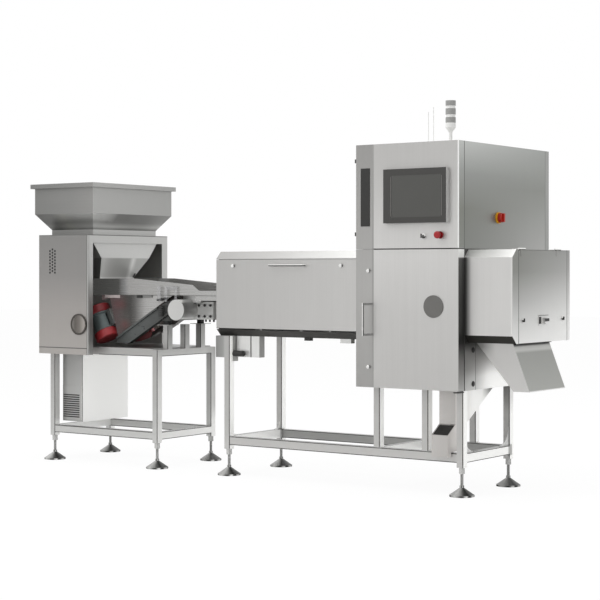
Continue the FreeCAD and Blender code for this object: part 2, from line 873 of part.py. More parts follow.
def pull_latch():
    face = X(S.outfeed_right)
    plate = block(face, face + 3, Y(346), Y(456), 888, 940)
    slot = block(face - 1, face + 4, Y(354), Y(374), 896, 934)
    lever = block(face + 3, face + 14, Y(386), Y(440), 916, 924)
    tip = block(face + 3, face + 18, Y(386), Y(394), 900, 924)
    return fuse(cut(plate, slot), lever, tip)


node("outfeed_hood", fuse(outfeed_hood(), *flap_hinge_fixed()))
node("end_flap", fuse(end_flap(), pull_latch(), *flap_hinge_moving()))
node("flap_lock_near", flap_lock(178, 52))
node("flap_lock_far", flap_lock(629, 56))


# Chutes below the machine

def outfeed_chute():
    z1 = S.hood_bottom
    z0 = S.chute_bottom
    y0 = Y(S.chute_near)
    y1 = Y(S.chute_far)
    left_run = (S.chute_toe - S.chute_left) / (z1 - z0)
    right_run = (S.chute_end - S.chute_right) / (z1 - z0)
    outer = ((X(S.chute_left), z1), (X(S.chute_right), z1), (X(S.chute_end), z0),
             (X(S.chute_toe), z0))
    over = dim(5)
    inner = (
        (X(S.chute_left) + 4 - left_run * over, z1 + over),
        (X(S.chute_right) - wall - right_run * over, z1 + over),
        (X(S.chute_end) - wall + right_run * over, z0 - over),
        (X(S.chute_toe) + 4 + left_run * over, z0 - over),
    )
    return cut(prism("XZ", outer, y0, y1), prism("XZ", inner, y0 + wall, y1 - wall))


def reject_duct():
    x0 = X(S.reject_left)
    x1 = X(S.reject_right)
    top = S.lower_bottom
    shape = ((Y(S.reject_near), top), (Y(S.reject_far), top), (Y(220), 370), (Y(S.reject_near), 370))
    inner = ((Y(S.reject_near) + wall, top + 2), (Y(S.reject_far) - wall, top + 2),
             (Y(218), 368), (Y(S.reject_near) + wall, 368))
    funnel = cut(prism("YZ", shape, x0, x1), prism("YZ", inner, x0 + wall, x1 - wall))
    outer = ((Y(20), 204), (Y(56), 204), (Y(56), 228), (Y(150), 228), (Y(220), 370),
             (Y(100), 370), (Y(20), 317))
    hollow = ((Y(20) + wall, 204 + wall), (Y(56) - wall, 204 + wall), (Y(56) - wall, 228 + wall),
              (Y(148), 228 + wall), (Y(217), 372), (Y(102), 372), (Y(20) + wall, 321))
    spout = cut(prism("YZ", outer, x0, x1), prism("YZ", hollow, x0 + wall, x1 - wall))
    return fuse(funnel, spout)


node("outfeed_chute", outfeed_chute())
node("reject_duct", reject_duct())


# Belt conveyor inside the tunnel

def oblong(radius, y0, y1):
    x0 = X(S.belt_left)
    x1 = X(S.belt_right)
    z = S.roller_z
    run = block(x0, x1, y0, y1, z - radius, z + radius)
    ends = [rod("y", x, y0, z, y1 - y0, radius) for x in (x0, x1)]
    return fuse(run, *ends)


def belt_bed():
    x0 = X(S.belt_left)
    x1 = X(S.belt_right)
    z = S.roller_z
    top = z + S.roller_radius
    bed = block(x0 + 50, x1 - 50, Y(S.belt_near) - 7, Y(S.belt_far) + 7, top - 6, top - 1)
    pieces = [bed]
    for y0 in (Y(S.belt_near) - 15, Y(S.belt_far) + 7):
        rail = block(x0 - 40, x1 + 30, y0, y0 + 8, z - 40, z + 48)
        bores = [rod("y", x, y0 - 1, z, 10, S.axle_radius + S.running_gap) for x in (x0, x1)]
        pieces.append(cut(rail, *bores))
    return fuse(*pieces)


def belt_supports():
    low = S.roller_z - 40
    pieces = []
    for x, floor in ((-1380, S.hood_bottom + wall), (-900, S.hood_bottom + wall),
                     (-560, S.lower_bottom + wall), (-330, S.lower_bottom + wall)):
        cross = block(X(x - 15), X(x + 15), Y(S.belt_near) - 15, Y(S.belt_far) + 15, low - 30, low)
        near = block(X(x - 15), X(x + 15), Y(S.belt_near) - 7, Y(S.belt_near) + 15, floor, low - 30)
        far = block(X(x - 15), X(x + 15), Y(S.belt_far) - 15, Y(S.belt_far) + 15, floor, low - 30)
        pieces.append(fuse(cross, near, far))
    return pieces


def roller(x):
    y0 = Y(S.belt_near) - 5
    drum = rod("y", x, y0, S.roller_z, S.belt_far - S.belt_near + 10, S.roller_radius)
    axle = rod("y", x, Y(S.belt_near) - 20, S.roller_z, S.belt_far - S.belt_near + 40,
               S.axle_radius)
    return fuse(drum, axle)


belt_gap = S.axial_gap
node("belt_bed", fuse(belt_bed(), *belt_supports()))
node("conveyor_belt", cut(oblong(S.roller_radius + belt_gap + 2, Y(S.belt_near), Y(S.belt_far)),
                          oblong(S.roller_radius + belt_gap, Y(S.belt_near) - 1,
                                 Y(S.belt_far) + 1)))
node("head_roller", roller(X(S.belt_right)))
node("tail_roller", roller(X(S.belt_left)))


def belt_drive():
    x = X(S.belt_right)
    y0 = Y(S.belt_far) + 15
    case = block(x - 45, x + 28, y0, y0 + 70, S.roller_z - 80, S.roller_z + 45)
    motor = rod("z", x - 8, y0 + 36, S.roller_z - 290, 210, 34)
    bore = rod("y", x, y0 - 1, S.roller_z, 30, S.axle_radius + S.running_gap)
    return cut(fuse(case, motor), bore)


def generator():
    top = S.seam_height
    tank = block(X(-510), X(-330), Y(170), Y(470), top - 140, top - wall)
    neck = rod("z", X(-420), Y(315), top - 170, 40, 45)
    cooler = block(X(-330), X(-290), Y(230), Y(410), top - 120, top - 30)
    collimator = wedge((X(-426), X(-414), Y(190), Y(440)), top - 200,
                       (X(-450), X(-390), Y(250), Y(380)), top - 170)
    return fuse(tank, neck, cooler, collimator)


def detector():
    strip = block(X(-450), X(-390), Y(110), Y(520), S.roller_z - 90, S.roller_z - 44)
    posts = [block(X(-435), X(-405), Y(y), Y(y + 30), S.lower_bottom + wall, S.roller_z - 90)
             for y in (120, 480)]
    return fuse(strip, *posts)


def air_manifold():
    bar = block(X(-150), X(-110), Y(97), Y(533), 1030, 1070)
    nozzles = [rod("z", X(-130), Y(125 + 42 * step), 1012, 20, 6) for step in range(10)]
    arms = [block(X(-150), X(-110), Y(y), Y(y + 6), 1070, S.seam_height - wall)
            for y in (97, 527)]
    return fuse(bar, *(nozzles + arms))


def controllers():
    y1 = Y(900)
    base = S.seam_height
    units = ((-560, -380, 780, 210, 470), (-340, -210, 800, 270, 470),
             (-180, -70, 790, 230, 410), (-560, -70, 840, 80, 150))
    return [block(X(a), X(b), Y(y0), y1, base + z0, base + z1) for a, b, y0, z0, z1 in units]


node("belt_drive", belt_drive())
node("xray_generator", generator())
node("line_detector", detector())
node("air_manifold", air_manifold())
node("cabinet_electrics", fuse(block(left + wall, right - wall, Y(900), Y(904),
                                       S.seam_height + 40, cabinet_top - 30),
                               *controllers()))


# Beacon, antennas and main switch

def beacon_parts():
    x = X(-104)
    y = Y(100)
    radius = S.beacon_radius
    top = cabinet_top + S.beacon_rise
    stem = fuse(rod("z", x, y, cabinet_top, 51, 9),
                rod("z", x, y, cabinet_top, 6, 20),
                cone("z", x, y, cabinet_top + 51, 25, 9, radius),
                rod("z", x, y, cabinet_top + 76, 24, radius))
    base = cabinet_top + 100
    lenses = [rod("z", x, y, base, 29, radius),
              rod("z", x, y, base + 44, 31, radius),
              rod("z", x, y, base + 90, top - base - 90, radius)]
    rings = [rod("z", x, y, base + 29, 15, radius - 2), rod("z", x, y, base + 75, 15, radius - 2)]
    return group(stem, *rings), group(*lenses)


stem, lenses = beacon_parts()
node("beacon_stem", stem)
node("beacon_lenses", lenses)
node("antennas", group(rod("z", X(-360), Y(300), cabinet_top, 188, 2),
                       rod("z", X(-328), Y(300), cabinet_top, 213, 2)))


def switch_plate():
    y = Y(426)
    disc = rod("x", right, y, switch_z, 8, 31)
    sleeve = rod("x", right - 20, y, switch_z, 20, 9)
    return cut(fuse(disc, sleeve), rod("x", right - 21, y, switch_z, 30, 5 + S.running_gap))


def switch_knob():
    y = Y(426)
    base = right + 8 + S.axial_gap
    skirt = rod("x", base, y, switch_z, 14, 21)
    grip = block(base + 14, base + 33, y - 6, y + 6, switch_z - 20, switch_z + 20)
    shaft = rod("x", right - 18, y, switch_z, 40, 5)
    return fuse(skirt, grip, shaft)


node("switch_plate", switch_plate())
node("switch_knob", switch_knob())


# Small fittings below the infeed hood

def fittings():
    start = X(S.leg_left_x) - S.tube_side / 2
    face = block(start - 67, start, Y(66), Y(72), 676, S.hood_bottom)
    plate = block(start - 67, start - 61, Y(66), Y(180), 676, S.hood_bottom)
    bracket = block(X(-1543), X(-1532), Y(72), Y(124), 655, S.hood_bottom)
    box_a = block(X(-1525), X(-1428), Y(104), Y(154), 679, S.hood_bottom)
    box_b = block(X(-1420), X(-1364), Y(104), Y(154), 679, S.hood_bottom)
    light = block(X(-806), X(-735), Y(104), Y(140), 776, S.hood_bottom)
    return group(fuse(face, plate), bracket, box_a, box_b, light)


def dark_fittings():
    stub = block(X(-1049), X(-1008), Y(104), Y(130), 784, S.hood_bottom)
    can = rod("x", X(-1532), Y(84), 700, 70, 16)
    return group(stub, can)


node("hood_fittings", fittings())
node("dark_fittings", dark_fittings())


# Feeder: stand, case and hopper

def feeder_frame():
    half = S.tube_side / 2
    xs = (X(S.feeder_leg_left), X(S.feeder_leg_right))
    ys = (Y(S.feeder_leg_near), Y(S.feeder_leg_far))
    deck = S.feeder_deck
    pieces = []
    for x in xs:
        for y in ys:
            pieces.append(leg(x, y, deck + 40))
    for low, high in ((170, 215), (deck, deck + 40)):
        for y in ys:
            pieces.append(block(xs[0] + half, xs[1] - half, y - half, y + half, low, high))
        for x in xs:
            pieces.append(block(x - half, x + half, ys[0] + half, ys[1] - half, low, high))
    for y in (170, 330, 480):
        pieces.append(block(xs[1] - half, xs[1] + half, Y(y) - half, Y(y) + half,
                            deck + 40, S.isolator_low))
    middle = X(-2545)
    pieces.append(block(middle - half, middle + half, ys[0] + half, ys[1] - half, deck, deck + 40))
    pieces.append(block(X(-2548), xs[1] - half - 1, ys[0] - half, ys[1] + half,
                        deck_top, deck_top + 6))
    return fuse(*pieces)


def rear_posts():
    return [rod("z", X(-2760), Y(y), deck_top + wall, 1000 - (deck_top + wall), 14)
            for y in (102, 528)]


node("feeder_frame", group(feeder_frame(), *rear_posts()))


def feeder_case():
    x0 = X(S.case_left)
    x1 = X(S.case_right)
    y0 = Y(S.case_near)
    y1 = Y(S.case_far)
    shell = block(x0, x1, y0, y1, S.feeder_deck, S.case_top)
    inside = block(x0 + wall, x1 - wall, y0 + wall, y1 - wall, S.feeder_deck - 1,
                   S.case_top - wall)
    side = block(x1 - wall - 1, x1 + 1, y0 + 43, y1 - 53, S.feeder_deck - 1, S.case_top - 50)
    neck = block(X(-2943), X(-2597), Y(50), Y(612), S.case_top - wall - 1, S.case_top + 1)
    porthole = rod("y", X(S.window_x), y0 - 1, S.window_z, wall + 2, S.window_radius - 10)
    holes = []
    for column in range(3):
        for row in range(8):
            z = 1163 + 19 * row + (9.5 if column == 1 else 0)
            holes.append(rod("y", X(-2871 + 21 * column), y0 - 1, z, wall + 2, 5.5))
    floor = block(x0 + wall, x1 - wall, y0 + wall, y1 - wall, deck_top, deck_top + wall)
    return fuse(cut(shell, inside, side, neck, porthole, *holes), floor)


def thinner(frame):
    return (frame[0] + wall, frame[1] - wall, frame[2] + wall, frame[3] - wall)


def hopper():
    x0 = X(S.hopper_left)
    x1 = X(S.hopper_right)
    y0 = Y(S.hopper_near)
    y1 = Y(S.hopper_far)
    inset = S.hopper_inset
    box = (x0 + inset, x1 - inset, y0 + inset, y1 - inset)
    neck = (X(-2943), X(-2597), Y(50), Y(635))
    top = S.hopper_top
    rim = block(x0, x1, y0, y1, top - S.hopper_rim, top)
    outer = fuse(rim, block(*box, S.hopper_box_low, top),
                 wedge(neck, S.hopper_neck, box, S.hopper_box_low),
                 block(*neck, S.case_top, S.hopper_neck))
    inner = fuse(block(*thinner(box), S.hopper_box_low, top + 1),
                 wedge(thinner(neck), S.hopper_neck, thinner(box), S.hopper_box_low),
                 block(*thinner(neck), S.case_top - 1, S.hopper_neck))
    return cut(outer, inner)


def discharge_chute():
    """Funnel inside the case that joins the hopper neck to the tray."""
    collar = (X(-2943), X(-2597), Y(50), Y(612))
    top = (X(-2950), X(-2572), Y(26), Y(615))
    waist = (X(-2860), X(-2579), Y(106), Y(549))
    mouth = (X(-2850), X(-2622), Y(139), Y(455))
    shoulder = dim(1345)
    waist_z = dim(1253)
    rim_z = dim(1136)
    mouth_z = dim(1070)
    outer = fuse(block(*collar, S.case_top - wall - 1, S.case_top),
                 block(*top, shoulder, S.case_top - wall),
                 wedge(waist, waist_z, top, shoulder),
                 wedge(mouth, rim_z, waist, waist_z),
                 block(*mouth, mouth_z, rim_z))
    inner = fuse(block(*thinner(collar), shoulder, S.case_top + 1),
                 block(*thinner(top), shoulder, S.case_top - 2 * wall),
                 wedge(thinner(waist), waist_z, thinner(top), shoulder),
                 wedge(thinner(mouth), rim_z, thinner(waist), waist_z),
                 block(*thinner(mouth), mouth_z - 1, rim_z))
    slot = block(X(-2630), X(-2610), Y(146), Y(448), 1060, 1122)
    return cut(outer, inner, slot)


def window_ring():
    y0 = Y(S.case_near)
    ring = tube("y", X(S.window_x), y0 - 7, S.window_z, 7, S.window_radius, S.window_radius - 9)
    screws = [rod("y", X(S.window_x), y0 - 9, S.window_z + step, 2, 3) for step in (-59.5, 59.5)]
    return fuse(ring, *screws)


node("feeder_case", feeder_case())
node("hopper", fuse(hopper(), discharge_chute()))
node("window_ring", window_ring())
node("window_glass", rod("y", X(S.window_x), Y(S.case_near) - 5, S.window_z, 4,
                         S.window_radius - 9))


def electrical_box():
    box = block(X(-2897), X(-2728), Y(100), Y(515), 240, deck_top)
    slots = []
    for row in range(11):
        slots.append(block(X(-2884), X(-2742), Y(99), Y(104), 298 + 14 * row, 305 + 14 * row))
    return cut(box, *slots)


node("electrical_box", electrical_box())


# Vibrating tray with its drive

def tray_side(inner):
    lift = S.tray_wall if inner else dim(0)
    x0 = X(S.tray_left) + lift
    step = X(S.tray_step_x) + lift
    x1 = X(S.tray_right) + (5 if inner else 0)
    upper = S.tray_upper_floor + lift
    lower = S.tray_lower_floor + lift
    if inner:
        return ((x0, upper), (step, upper), (step, lower), (x1, lower), (x1, 1140), (x0, 1140))
    return ((x0, upper), (step, upper), (step, lower), (x1, lower), (x1, 1057), (X(-1823), 1057),
            (X(-1838), 1062), (X(-1880), 1091), (X(-2325), 1127), (x0, 1127))


def tray():
    outer = prism("XZ", tray_side(False), Y(S.tray_near), Y(S.tray_far))
    inner = prism("XZ", tray_side(True), Y(S.tray_near) + S.tray_wall,
                  Y(S.tray_far) - S.tray_wall)
    ears = [block(X(-2790), X(-2730), Y(a), Y(b), 1040, 1048)
            for a, b in ((85, S.tray_near), (S.tray_far, 545))]
    return fuse(cut(outer, inner), *ears)


def motor_frame(thing, y):
    """Leans a piece drawn upright about Z back against the flow and sets it at the motors."""
    made = group(thing)
    turn(made, FreeCAD.Vector(0, -1, 0), 1)
    bind(made, "Placement.Rotation.Angle", S.motor_tilt)
    put(made, X(S.motor_x), y, S.motor_z)
    return made


def motor_body(y):
    length = S.motor_cap_length
    core = rod("z", 0, 0, length, 140, S.motor_radius)
    foot = block(45, 84, -45, 45, length + 15, length + 125)
    return motor_frame(fuse(core, foot), y)


def motor_ends(y):
    length = S.motor_cap_length
    radius = S.motor_cap_radius
    ends = group(rod("z", 0, 0, 0, length, radius), rod("z", 0, 0, length + 140, length, radius))
    return motor_frame(ends, y)


motor_ys = (Y(S.motor_near), Y(S.motor_far))
beam_slope = tangent(S.beam_rise)
beam_x = -2384
beam_left = -2486
beam_z = 733
beam_depth = 93.4
cross_tube = rod("y", X(S.cross_tube_x), Y(70), S.cross_tube_z, 490, S.cross_tube_radius)


def beam_top_x():
    return X(beam_x) + (S.tray_upper_floor - beam_z - beam_depth) / beam_slope


def beam_end_z():
    return beam_z + beam_depth - beam_slope * (beam_x - beam_left)


def drive_beams():
    end_x = -1960
    floor = S.tray_upper_floor
    corners = (
        (X(beam_x), dim(beam_z)),
        (X(end_x), beam_z + beam_slope * (end_x - beam_x)),
        (X(end_x), floor),
        (beam_top_x(), floor),
        (X(beam_left), beam_end_z()),
        (X(beam_left), dim(beam_z)),
    )
    pieces = [prism("XZ", corners, Y(y), Y(y + 36)) for y in (134, 460)]
    shoes = [block(X(-2126), X(-2076), Y(y - 20), Y(y + 20), S.isolator_high,
                   S.isolator_high + 36) for y in (170, 480)]
    plate = block(84, 96, -40, S.motor_far - S.motor_near + 40, -25, 205)
    return cut(fuse(*(pieces + shoes + [motor_frame(plate, motor_ys[0])])), cross_tube)


def side_plates():
    corners = (
        (X(-2600), S.tray_upper_floor),
        (beam_top_x(), S.tray_upper_floor),
        (X(beam_left), beam_end_z()),
        (X(-2600), beam_end_z()),
    )
    pieces = []
    for y in (134, 492):
        clear = motor_frame(block(-200, 96, -400, 900, -200, 236), Y(0))
        pieces.append(cut(prism("XZ", corners, Y(y), Y(y + 4)), clear))
    return pieces


def clamp_block():
    box = block(X(-1953), X(-1776), Y(200), Y(430), 885, 990)
    link = block(X(-1990), X(-1856), Y(180), Y(450), 985, S.tray_upper_floor)
    bolts = []
    for column in range(5):
        for z in (905, 970):
            bolts.append(rod("y", X(-1880 + 22 * column), Y(193), z, 8, 7))
    return fuse(box, link, cross_tube, *bolts)


node("tray", fuse(tray(), *side_plates()))
node("drive_beams", drive_beams())
node("cross_tube", clamp_block())
node("vibration_motors", group(*[motor_body(y) for y in motor_ys]))
node("motor_caps", group(*[motor_ends(y) for y in motor_ys]))


def isolators():
    pieces = []
    x = X(S.feeder_leg_right)
    for y in (170, 480):
        pieces.append(rod("z", x, Y(y), S.isolator_low,
                          S.isolator_high - S.axial_gap - S.isolator_low, S.isolator_radius))
    for y in (102, 528):
        pieces.append(rod("z", X(-2760), Y(y), 1000, 40 - S.axial_gap, 17))
    return group(*pieces)


node("rubber_isolators", isolators())


doc.recompute()
failed = []
for thing in doc.Objects:
    state = " ".join(thing.State)
    if "Invalid" in state or "Error" in state:
        failed.append(thing.Label + " " + state)
for thing in NODES:
    if thing.Shape.isNull() or not thing.Shape.isValid() or thing.Shape.Volume <= 0:
        failed.append(thing.Label + " shape")
if failed:
    raise RuntimeError("; ".join(failed))
total = FreeCAD.BoundBox()
for thing in NODES:
    thing.Shape.exportStep("parts/" + thing.Label + ".step")
    total.add(thing.Shape.BoundBox)
    box = thing.Shape.BoundBox
    print(thing.Label, [round(v, 1) for v in (box.XMin, box.XMax, box.YMin, box.YMax, box.ZMin,
                                              box.ZMax)], len(thing.Shape.Solids))
print(len(NODES), "nodes", total)
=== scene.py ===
"""X-ray inspection machine with its feeder: finishes with painted light, shade and reflections,
small pieces and studio for the CAD.
"""

import math

import bmesh
import bpy
from mathutils import Matrix, Vector

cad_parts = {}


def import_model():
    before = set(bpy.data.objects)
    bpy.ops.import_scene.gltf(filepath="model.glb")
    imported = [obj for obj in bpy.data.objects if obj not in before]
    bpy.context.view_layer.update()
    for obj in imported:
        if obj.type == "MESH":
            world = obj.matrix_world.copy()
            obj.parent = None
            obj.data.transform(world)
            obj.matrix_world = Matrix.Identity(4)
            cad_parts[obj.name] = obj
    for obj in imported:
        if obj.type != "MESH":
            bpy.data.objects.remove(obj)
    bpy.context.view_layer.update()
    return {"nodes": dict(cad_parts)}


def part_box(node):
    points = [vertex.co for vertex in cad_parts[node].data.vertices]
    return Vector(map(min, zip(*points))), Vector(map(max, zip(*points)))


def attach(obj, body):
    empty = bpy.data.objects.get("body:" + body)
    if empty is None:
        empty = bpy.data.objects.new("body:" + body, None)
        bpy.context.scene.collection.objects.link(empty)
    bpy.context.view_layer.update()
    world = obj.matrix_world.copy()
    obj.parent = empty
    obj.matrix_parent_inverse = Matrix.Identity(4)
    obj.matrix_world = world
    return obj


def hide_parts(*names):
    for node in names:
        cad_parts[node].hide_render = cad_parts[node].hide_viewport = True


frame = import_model()
nodes = frame["nodes"]

# The right face of the cabinet and the front of its doors are the zero of every place below.
CABINET_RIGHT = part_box("upper_housing")[1].x
DOOR_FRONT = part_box("upper_door_panel")[0].y
OFFSET = {"X": CABINET_RIGHT, "Y": DOOR_FRONT, "Z": 0.0}


def at(x, y, z):
    """A point counted from the cabinet's right face, the doors' front and the floor, in metres."""
    return Vector((CABINET_RIGHT + x, DOOR_FRONT + y, z))


# Materials

# Direction of a face's outward side and the span of it over which the face's tone comes in; these
# tones are painted light and shade, set by the way a face turns.
FACES = {
    "side": ("X", 0.6, 0.75),
    "slope": ("Z", 0.25, 0.35),
    "top": ("Z", 0.85, 0.95),
    "lean": ("Z", -0.42, -0.52),
    "under": ("Z", -0.85, -0.95),
}
RIGHTWARD = (0.6, 1.5)
TURN_SPAN = (0.3, 0.5)
NOISE_SPAN = (0.3, 0.7)
LINE_SOFT = 0.0006
FINE_GRAIN = 420.0
FINE_RUN = 2.5
BROAD_GRAIN = 30.0
BROAD_RUN = 0.35
HAIR_DEPTH = 0.0003
CLOUD_DEPTH = 0.001
PANE_GRAIN = 12.0


def colour(code):
    """Linear colour of a web colour code."""
    parts = [int(code[i:i + 2], 16) / 255 for i in (0, 2, 4)]
    return tuple(p / 12.92 if p <= 0.04045 else ((p + 0.055) / 1.055) ** 2.4 for p in parts)


class Nodes:
    """Short calls for building the node tree of a material or of the world."""

    def __init__(self, owner):
        self.owner = owner
        owner.use_nodes = True
        self.tree = owner.node_tree
        self.tree.nodes.clear()
        self.place = None
        self.split = {}

    def add(self, kind, **settings):
        made = self.tree.nodes.new(kind)
        for key, value in settings.items():
            setattr(made, key, value)
        return made

    def link(self, source, target):
        self.tree.links.new(source, target)

    def put(self, target, value):
        """Links a socket or sets a constant."""
        if isinstance(value, (int, float)):
            target.default_value = value
        elif isinstance(value, tuple):
            target.default_value = (*value, 1.0)
        else:
            self.link(value, target)

    def where(self, output):
        """Object coordinates, or the surface's own direction."""
        if self.place is None:
            self.place = self.add("ShaderNodeTexCoord")
        return self.place.outputs[output]

    def part(self, output, axis):
        """One axis of the object coordinates or of the surface's own direction."""
        if output not in self.split:
            made = self.add("ShaderNodeSeparateXYZ")
            self.link(self.where(output), made.inputs["Vector"])
            self.split[output] = made
        return self.split[output].outputs[axis]

    def span(self, source, low, high, first=0.0, second=1.0):
        """Maps a value from low..high to first..second and stops at the ends."""
        made = self.add("ShaderNodeMapRange")
        for key, value in (("From Min", low), ("From Max", high), ("To Min", first),
                           ("To Max", second)):
            made.inputs[key].default_value = value
        self.link(source, made.inputs["Value"])
        return made.outputs["Result"]

    def maths(self, operation, first, second):
        made = self.add("ShaderNodeMath", operation=operation)
        self.put(made.inputs[0], first)
        self.put(made.inputs[1], second)
        return made.outputs["Value"]

    def grain(self, scale, detail=2.0):
        """Noise on object coordinates stretched by scale, one factor per axis."""
        stretch = self.add("ShaderNodeMapping")
        stretch.inputs["Scale"].default_value = scale
        noise = self.add("ShaderNodeTexNoise")
        noise.inputs["Scale"].default_value = 1.0
        noise.inputs["Detail"].default_value = detail
        self.link(self.where("Object"), stretch.inputs["Vector"])
        self.link(stretch.outputs["Vector"], noise.inputs["Vector"])
        return noise.outputs["Fac"]

    def spread(self, source, low, high):
        """Maps a noise value from its usual span to low and high."""
        return self.span(source, *NOISE_SPAN, low, high)

    def mix(self, factor, first, second):
        blend = self.add("ShaderNodeMix", data_type="RGBA")
        self.put(blend.inputs["A"], first)
        self.put(blend.inputs["B"], second)
        self.put(blend.inputs["Factor"], factor)
        return blend.outputs["Result"]

    def scaled(self, tint, amount):
        """A colour made lighter or darker by a factor."""
        made = self.add("ShaderNodeVectorMath", operation="SCALE")
        if isinstance(tint, tuple):
            made.inputs[0].default_value = tint
        else:
            self.link(tint, made.inputs[0])
        self.link(amount, made.inputs["Scale"])
        return made.outputs["Vector"]

    def ramp(self, axis, stops, output="Object"):
        """Colours at places along an axis, places counted as in at(), or by direction."""
        low = stops[0][0]
        high = stops[-1][0]
        zero = OFFSET[axis] if output == "Object" else 0.0
        along = self.span(self.part(output, axis), zero + low, zero + high)
        made = self.add("ShaderNodeValToRGB")
        points = made.color_ramp.elements
        while len(points) < len(stops):
            points.new(0.5)
        for point, (place, code) in zip(points, stops):
            point.position = (place - low) / (high - low)
            point.color = (*colour(code), 1.0)
        self.link(along, made.inputs["Fac"])
        return made.outputs["Color"]

    def tint(self, surface_look):
        """Socket or colour of a surface look.

        A surface look is a web code, stops along an axis, "round" with stops by direction,
        which paints reflections, "turn" with one look for faces to the front and one for faces
        to the right, which paints light by direction, or "meet" with two looks that meet
        between two places on an axis.
        """
        if isinstance(surface_look, str):
            return colour(surface_look)
        if surface_look[0] == "round":
            return self.ramp(*surface_look[1:], "Normal")
        if surface_look[0] == "turn":
            share = self.span(self.part("Normal", "X"), *TURN_SPAN)
        elif surface_look[0] == "meet":
            axis, low, high = surface_look[1:4]
            share = self.span(self.part("Object", axis), OFFSET[axis] + low, OFFSET[axis] + high)
        else:
            return self.ramp(*surface_look)
        return self.mix(share, self.tint(surface_look[-2]), self.tint(surface_look[-1]))

    def patch(self, limits, soft):
        """One inside a box given by axis, zero outside, with a soft edge."""
        inside = 1.0
        for axis, (low, high) in limits.items():
            if axis == "facing":
                place = self.part("Normal", "X")
            else:
                place = self.part("Object", axis)
                low += OFFSET[axis]
                high += OFFSET[axis]
            rise = self.span(place, low - soft, low + soft)
            fall = self.span(place, high - soft, high + soft, 1.0, 0.0)
            inside = self.maths("MULTIPLY", self.maths("MULTIPLY", rise, fall), inside)
        return inside

    def skin(self, front, faces, marks=()):
        """The front's tone, with the tones of other faces, painted light and shade by the way they
        turn, and the marks, which paint seams, highlights and shade, laid over it.
        """
        tone = self.tint(front)
        for face, surface_look in faces.items():
            direction, low, high = FACES[face]
            turned = self.part("Normal", direction)
            share = (self.span(turned, low, high) if high > 0
                     else self.span(turned, high, low, 1.0, 0.0))
            tone = self.mix(share, tone, self.tint(surface_look))
        for limits, soft, surface_look in marks:
            tone = self.mix(self.patch(limits, soft), tone, self.tint(surface_look))
        return tone

    def glow(self, shader, tone, lit):
        """Adds to a shader a painted glow that stands in for the bounced light filling the lit
        boxes.
        """
        total = 0.0
        for limits, soft, strength in lit:
            fill = self.maths("MULTIPLY", self.patch(limits, soft), strength)
            total = self.maths("ADD", total, fill)
        self.link(tone, shader.inputs["Emission Color"])
        self.link(total, shader.inputs["Emission Strength"])

    def bump(self, source, strength, distance):
        bump = self.add("ShaderNodeBump")
        bump.inputs["Strength"].default_value = strength
        bump.inputs["Distance"].default_value = distance
        self.link(source, bump.inputs["Height"])
        return bump.outputs["Normal"]

    def surface(self, metallic=0.0):
        shader = self.add("ShaderNodeBsdfPrincipled")
        shader.inputs["Metallic"].default_value = metallic
        self.show("ShaderNodeOutputMaterial", shader.outputs["BSDF"])
        return shader

    def rays(self, *kinds):
        """One for the named kinds of ray, zero for the others."""
        path = self.add("ShaderNodeLightPath")
        share = path.outputs[kinds[0]]
        for kind in kinds[1:]:
            share = self.maths("MAXIMUM", share, path.outputs[kind])
        return share

    def blend(self, share, first, second):
        """Two shaders, the second one by its share."""
        made = self.add("ShaderNodeMixShader")
        self.link(share, made.inputs["Fac"])
        self.link(first, made.inputs[1])
        self.link(second, made.inputs[2])
        return made.outputs["Shader"]

    def show(self, kind, source):
        self.link(source, self.add(kind).inputs["Surface"])


def brushed(name, front, grain="Z", metallic=0.72, rough=(0.34, 0.44), contrast=0.04,
            marks=(), lit=(), relief=0.06, **faces):
    """Sheet steel with its grain along one axis and a tone for each way that it faces, as painted
    light and shade.

    lit lists the boxes where a painted glow stands in for bounced light in a deep corner, with
    softness and strength.
    """
    build = Nodes(bpy.data.materials.new(name))
    fine = [FINE_GRAIN] * 3
    broad = [BROAD_GRAIN] * 3
    axis = "XYZ".index(grain)
    fine[axis] = FINE_RUN
    broad[axis] = BROAD_RUN
    tone = build.skin(front, faces, marks)
    hair = build.grain(fine)
    cloud = build.grain(broad)
    faint = contrast * 0.3
    tone = build.scaled(tone, build.spread(hair, 1.0 - contrast, 1.0 + contrast))
    tone = build.scaled(tone, build.spread(cloud, 1.0 - faint, 1.0 + faint))
    shader = build.surface(metallic)
    build.link(tone, shader.inputs["Base Color"])
    build.link(build.spread(hair, *rough), shader.inputs["Roughness"])
    build.link(build.bump(hair, relief, HAIR_DEPTH), shader.inputs["Normal"])
    if lit:
        build.glow(shader, tone, lit)
    return build.owner


def clouded(name, front, metallic=0.0, rough=(0.35, 0.5), contrast=0.06, scale=35.0, relief=0.0,
         **faces):
    """Painted, moulded or polished surface with a faint cloudiness, and tones for faces turned
    other ways as painted light and shade.
    """
    build = Nodes(bpy.data.materials.new(name))
    tone = build.skin(front, faces)
    cloud = build.grain((scale,) * 3, 4.0)
    shader = build.surface(metallic)
    build.link(build.scaled(tone, build.spread(cloud, 1.0 - contrast, 1.0 + contrast)),
               shader.inputs["Base Color"])
    build.link(build.spread(cloud, *rough), shader.inputs["Roughness"])
    if relief:
        build.link(build.bump(cloud, relief, CLOUD_DEPTH), shader.inputs["Normal"])
    return build.owner


def polished(name, axis, stops, metallic=0.1, rough=(0.2, 0.3)):
    """Polished steel with painted reflections: bright and dark bands that go round the form, set
    by the way each face turns.
    """
    return clouded(name, ("round", axis, stops), metallic, rough, 0.03)


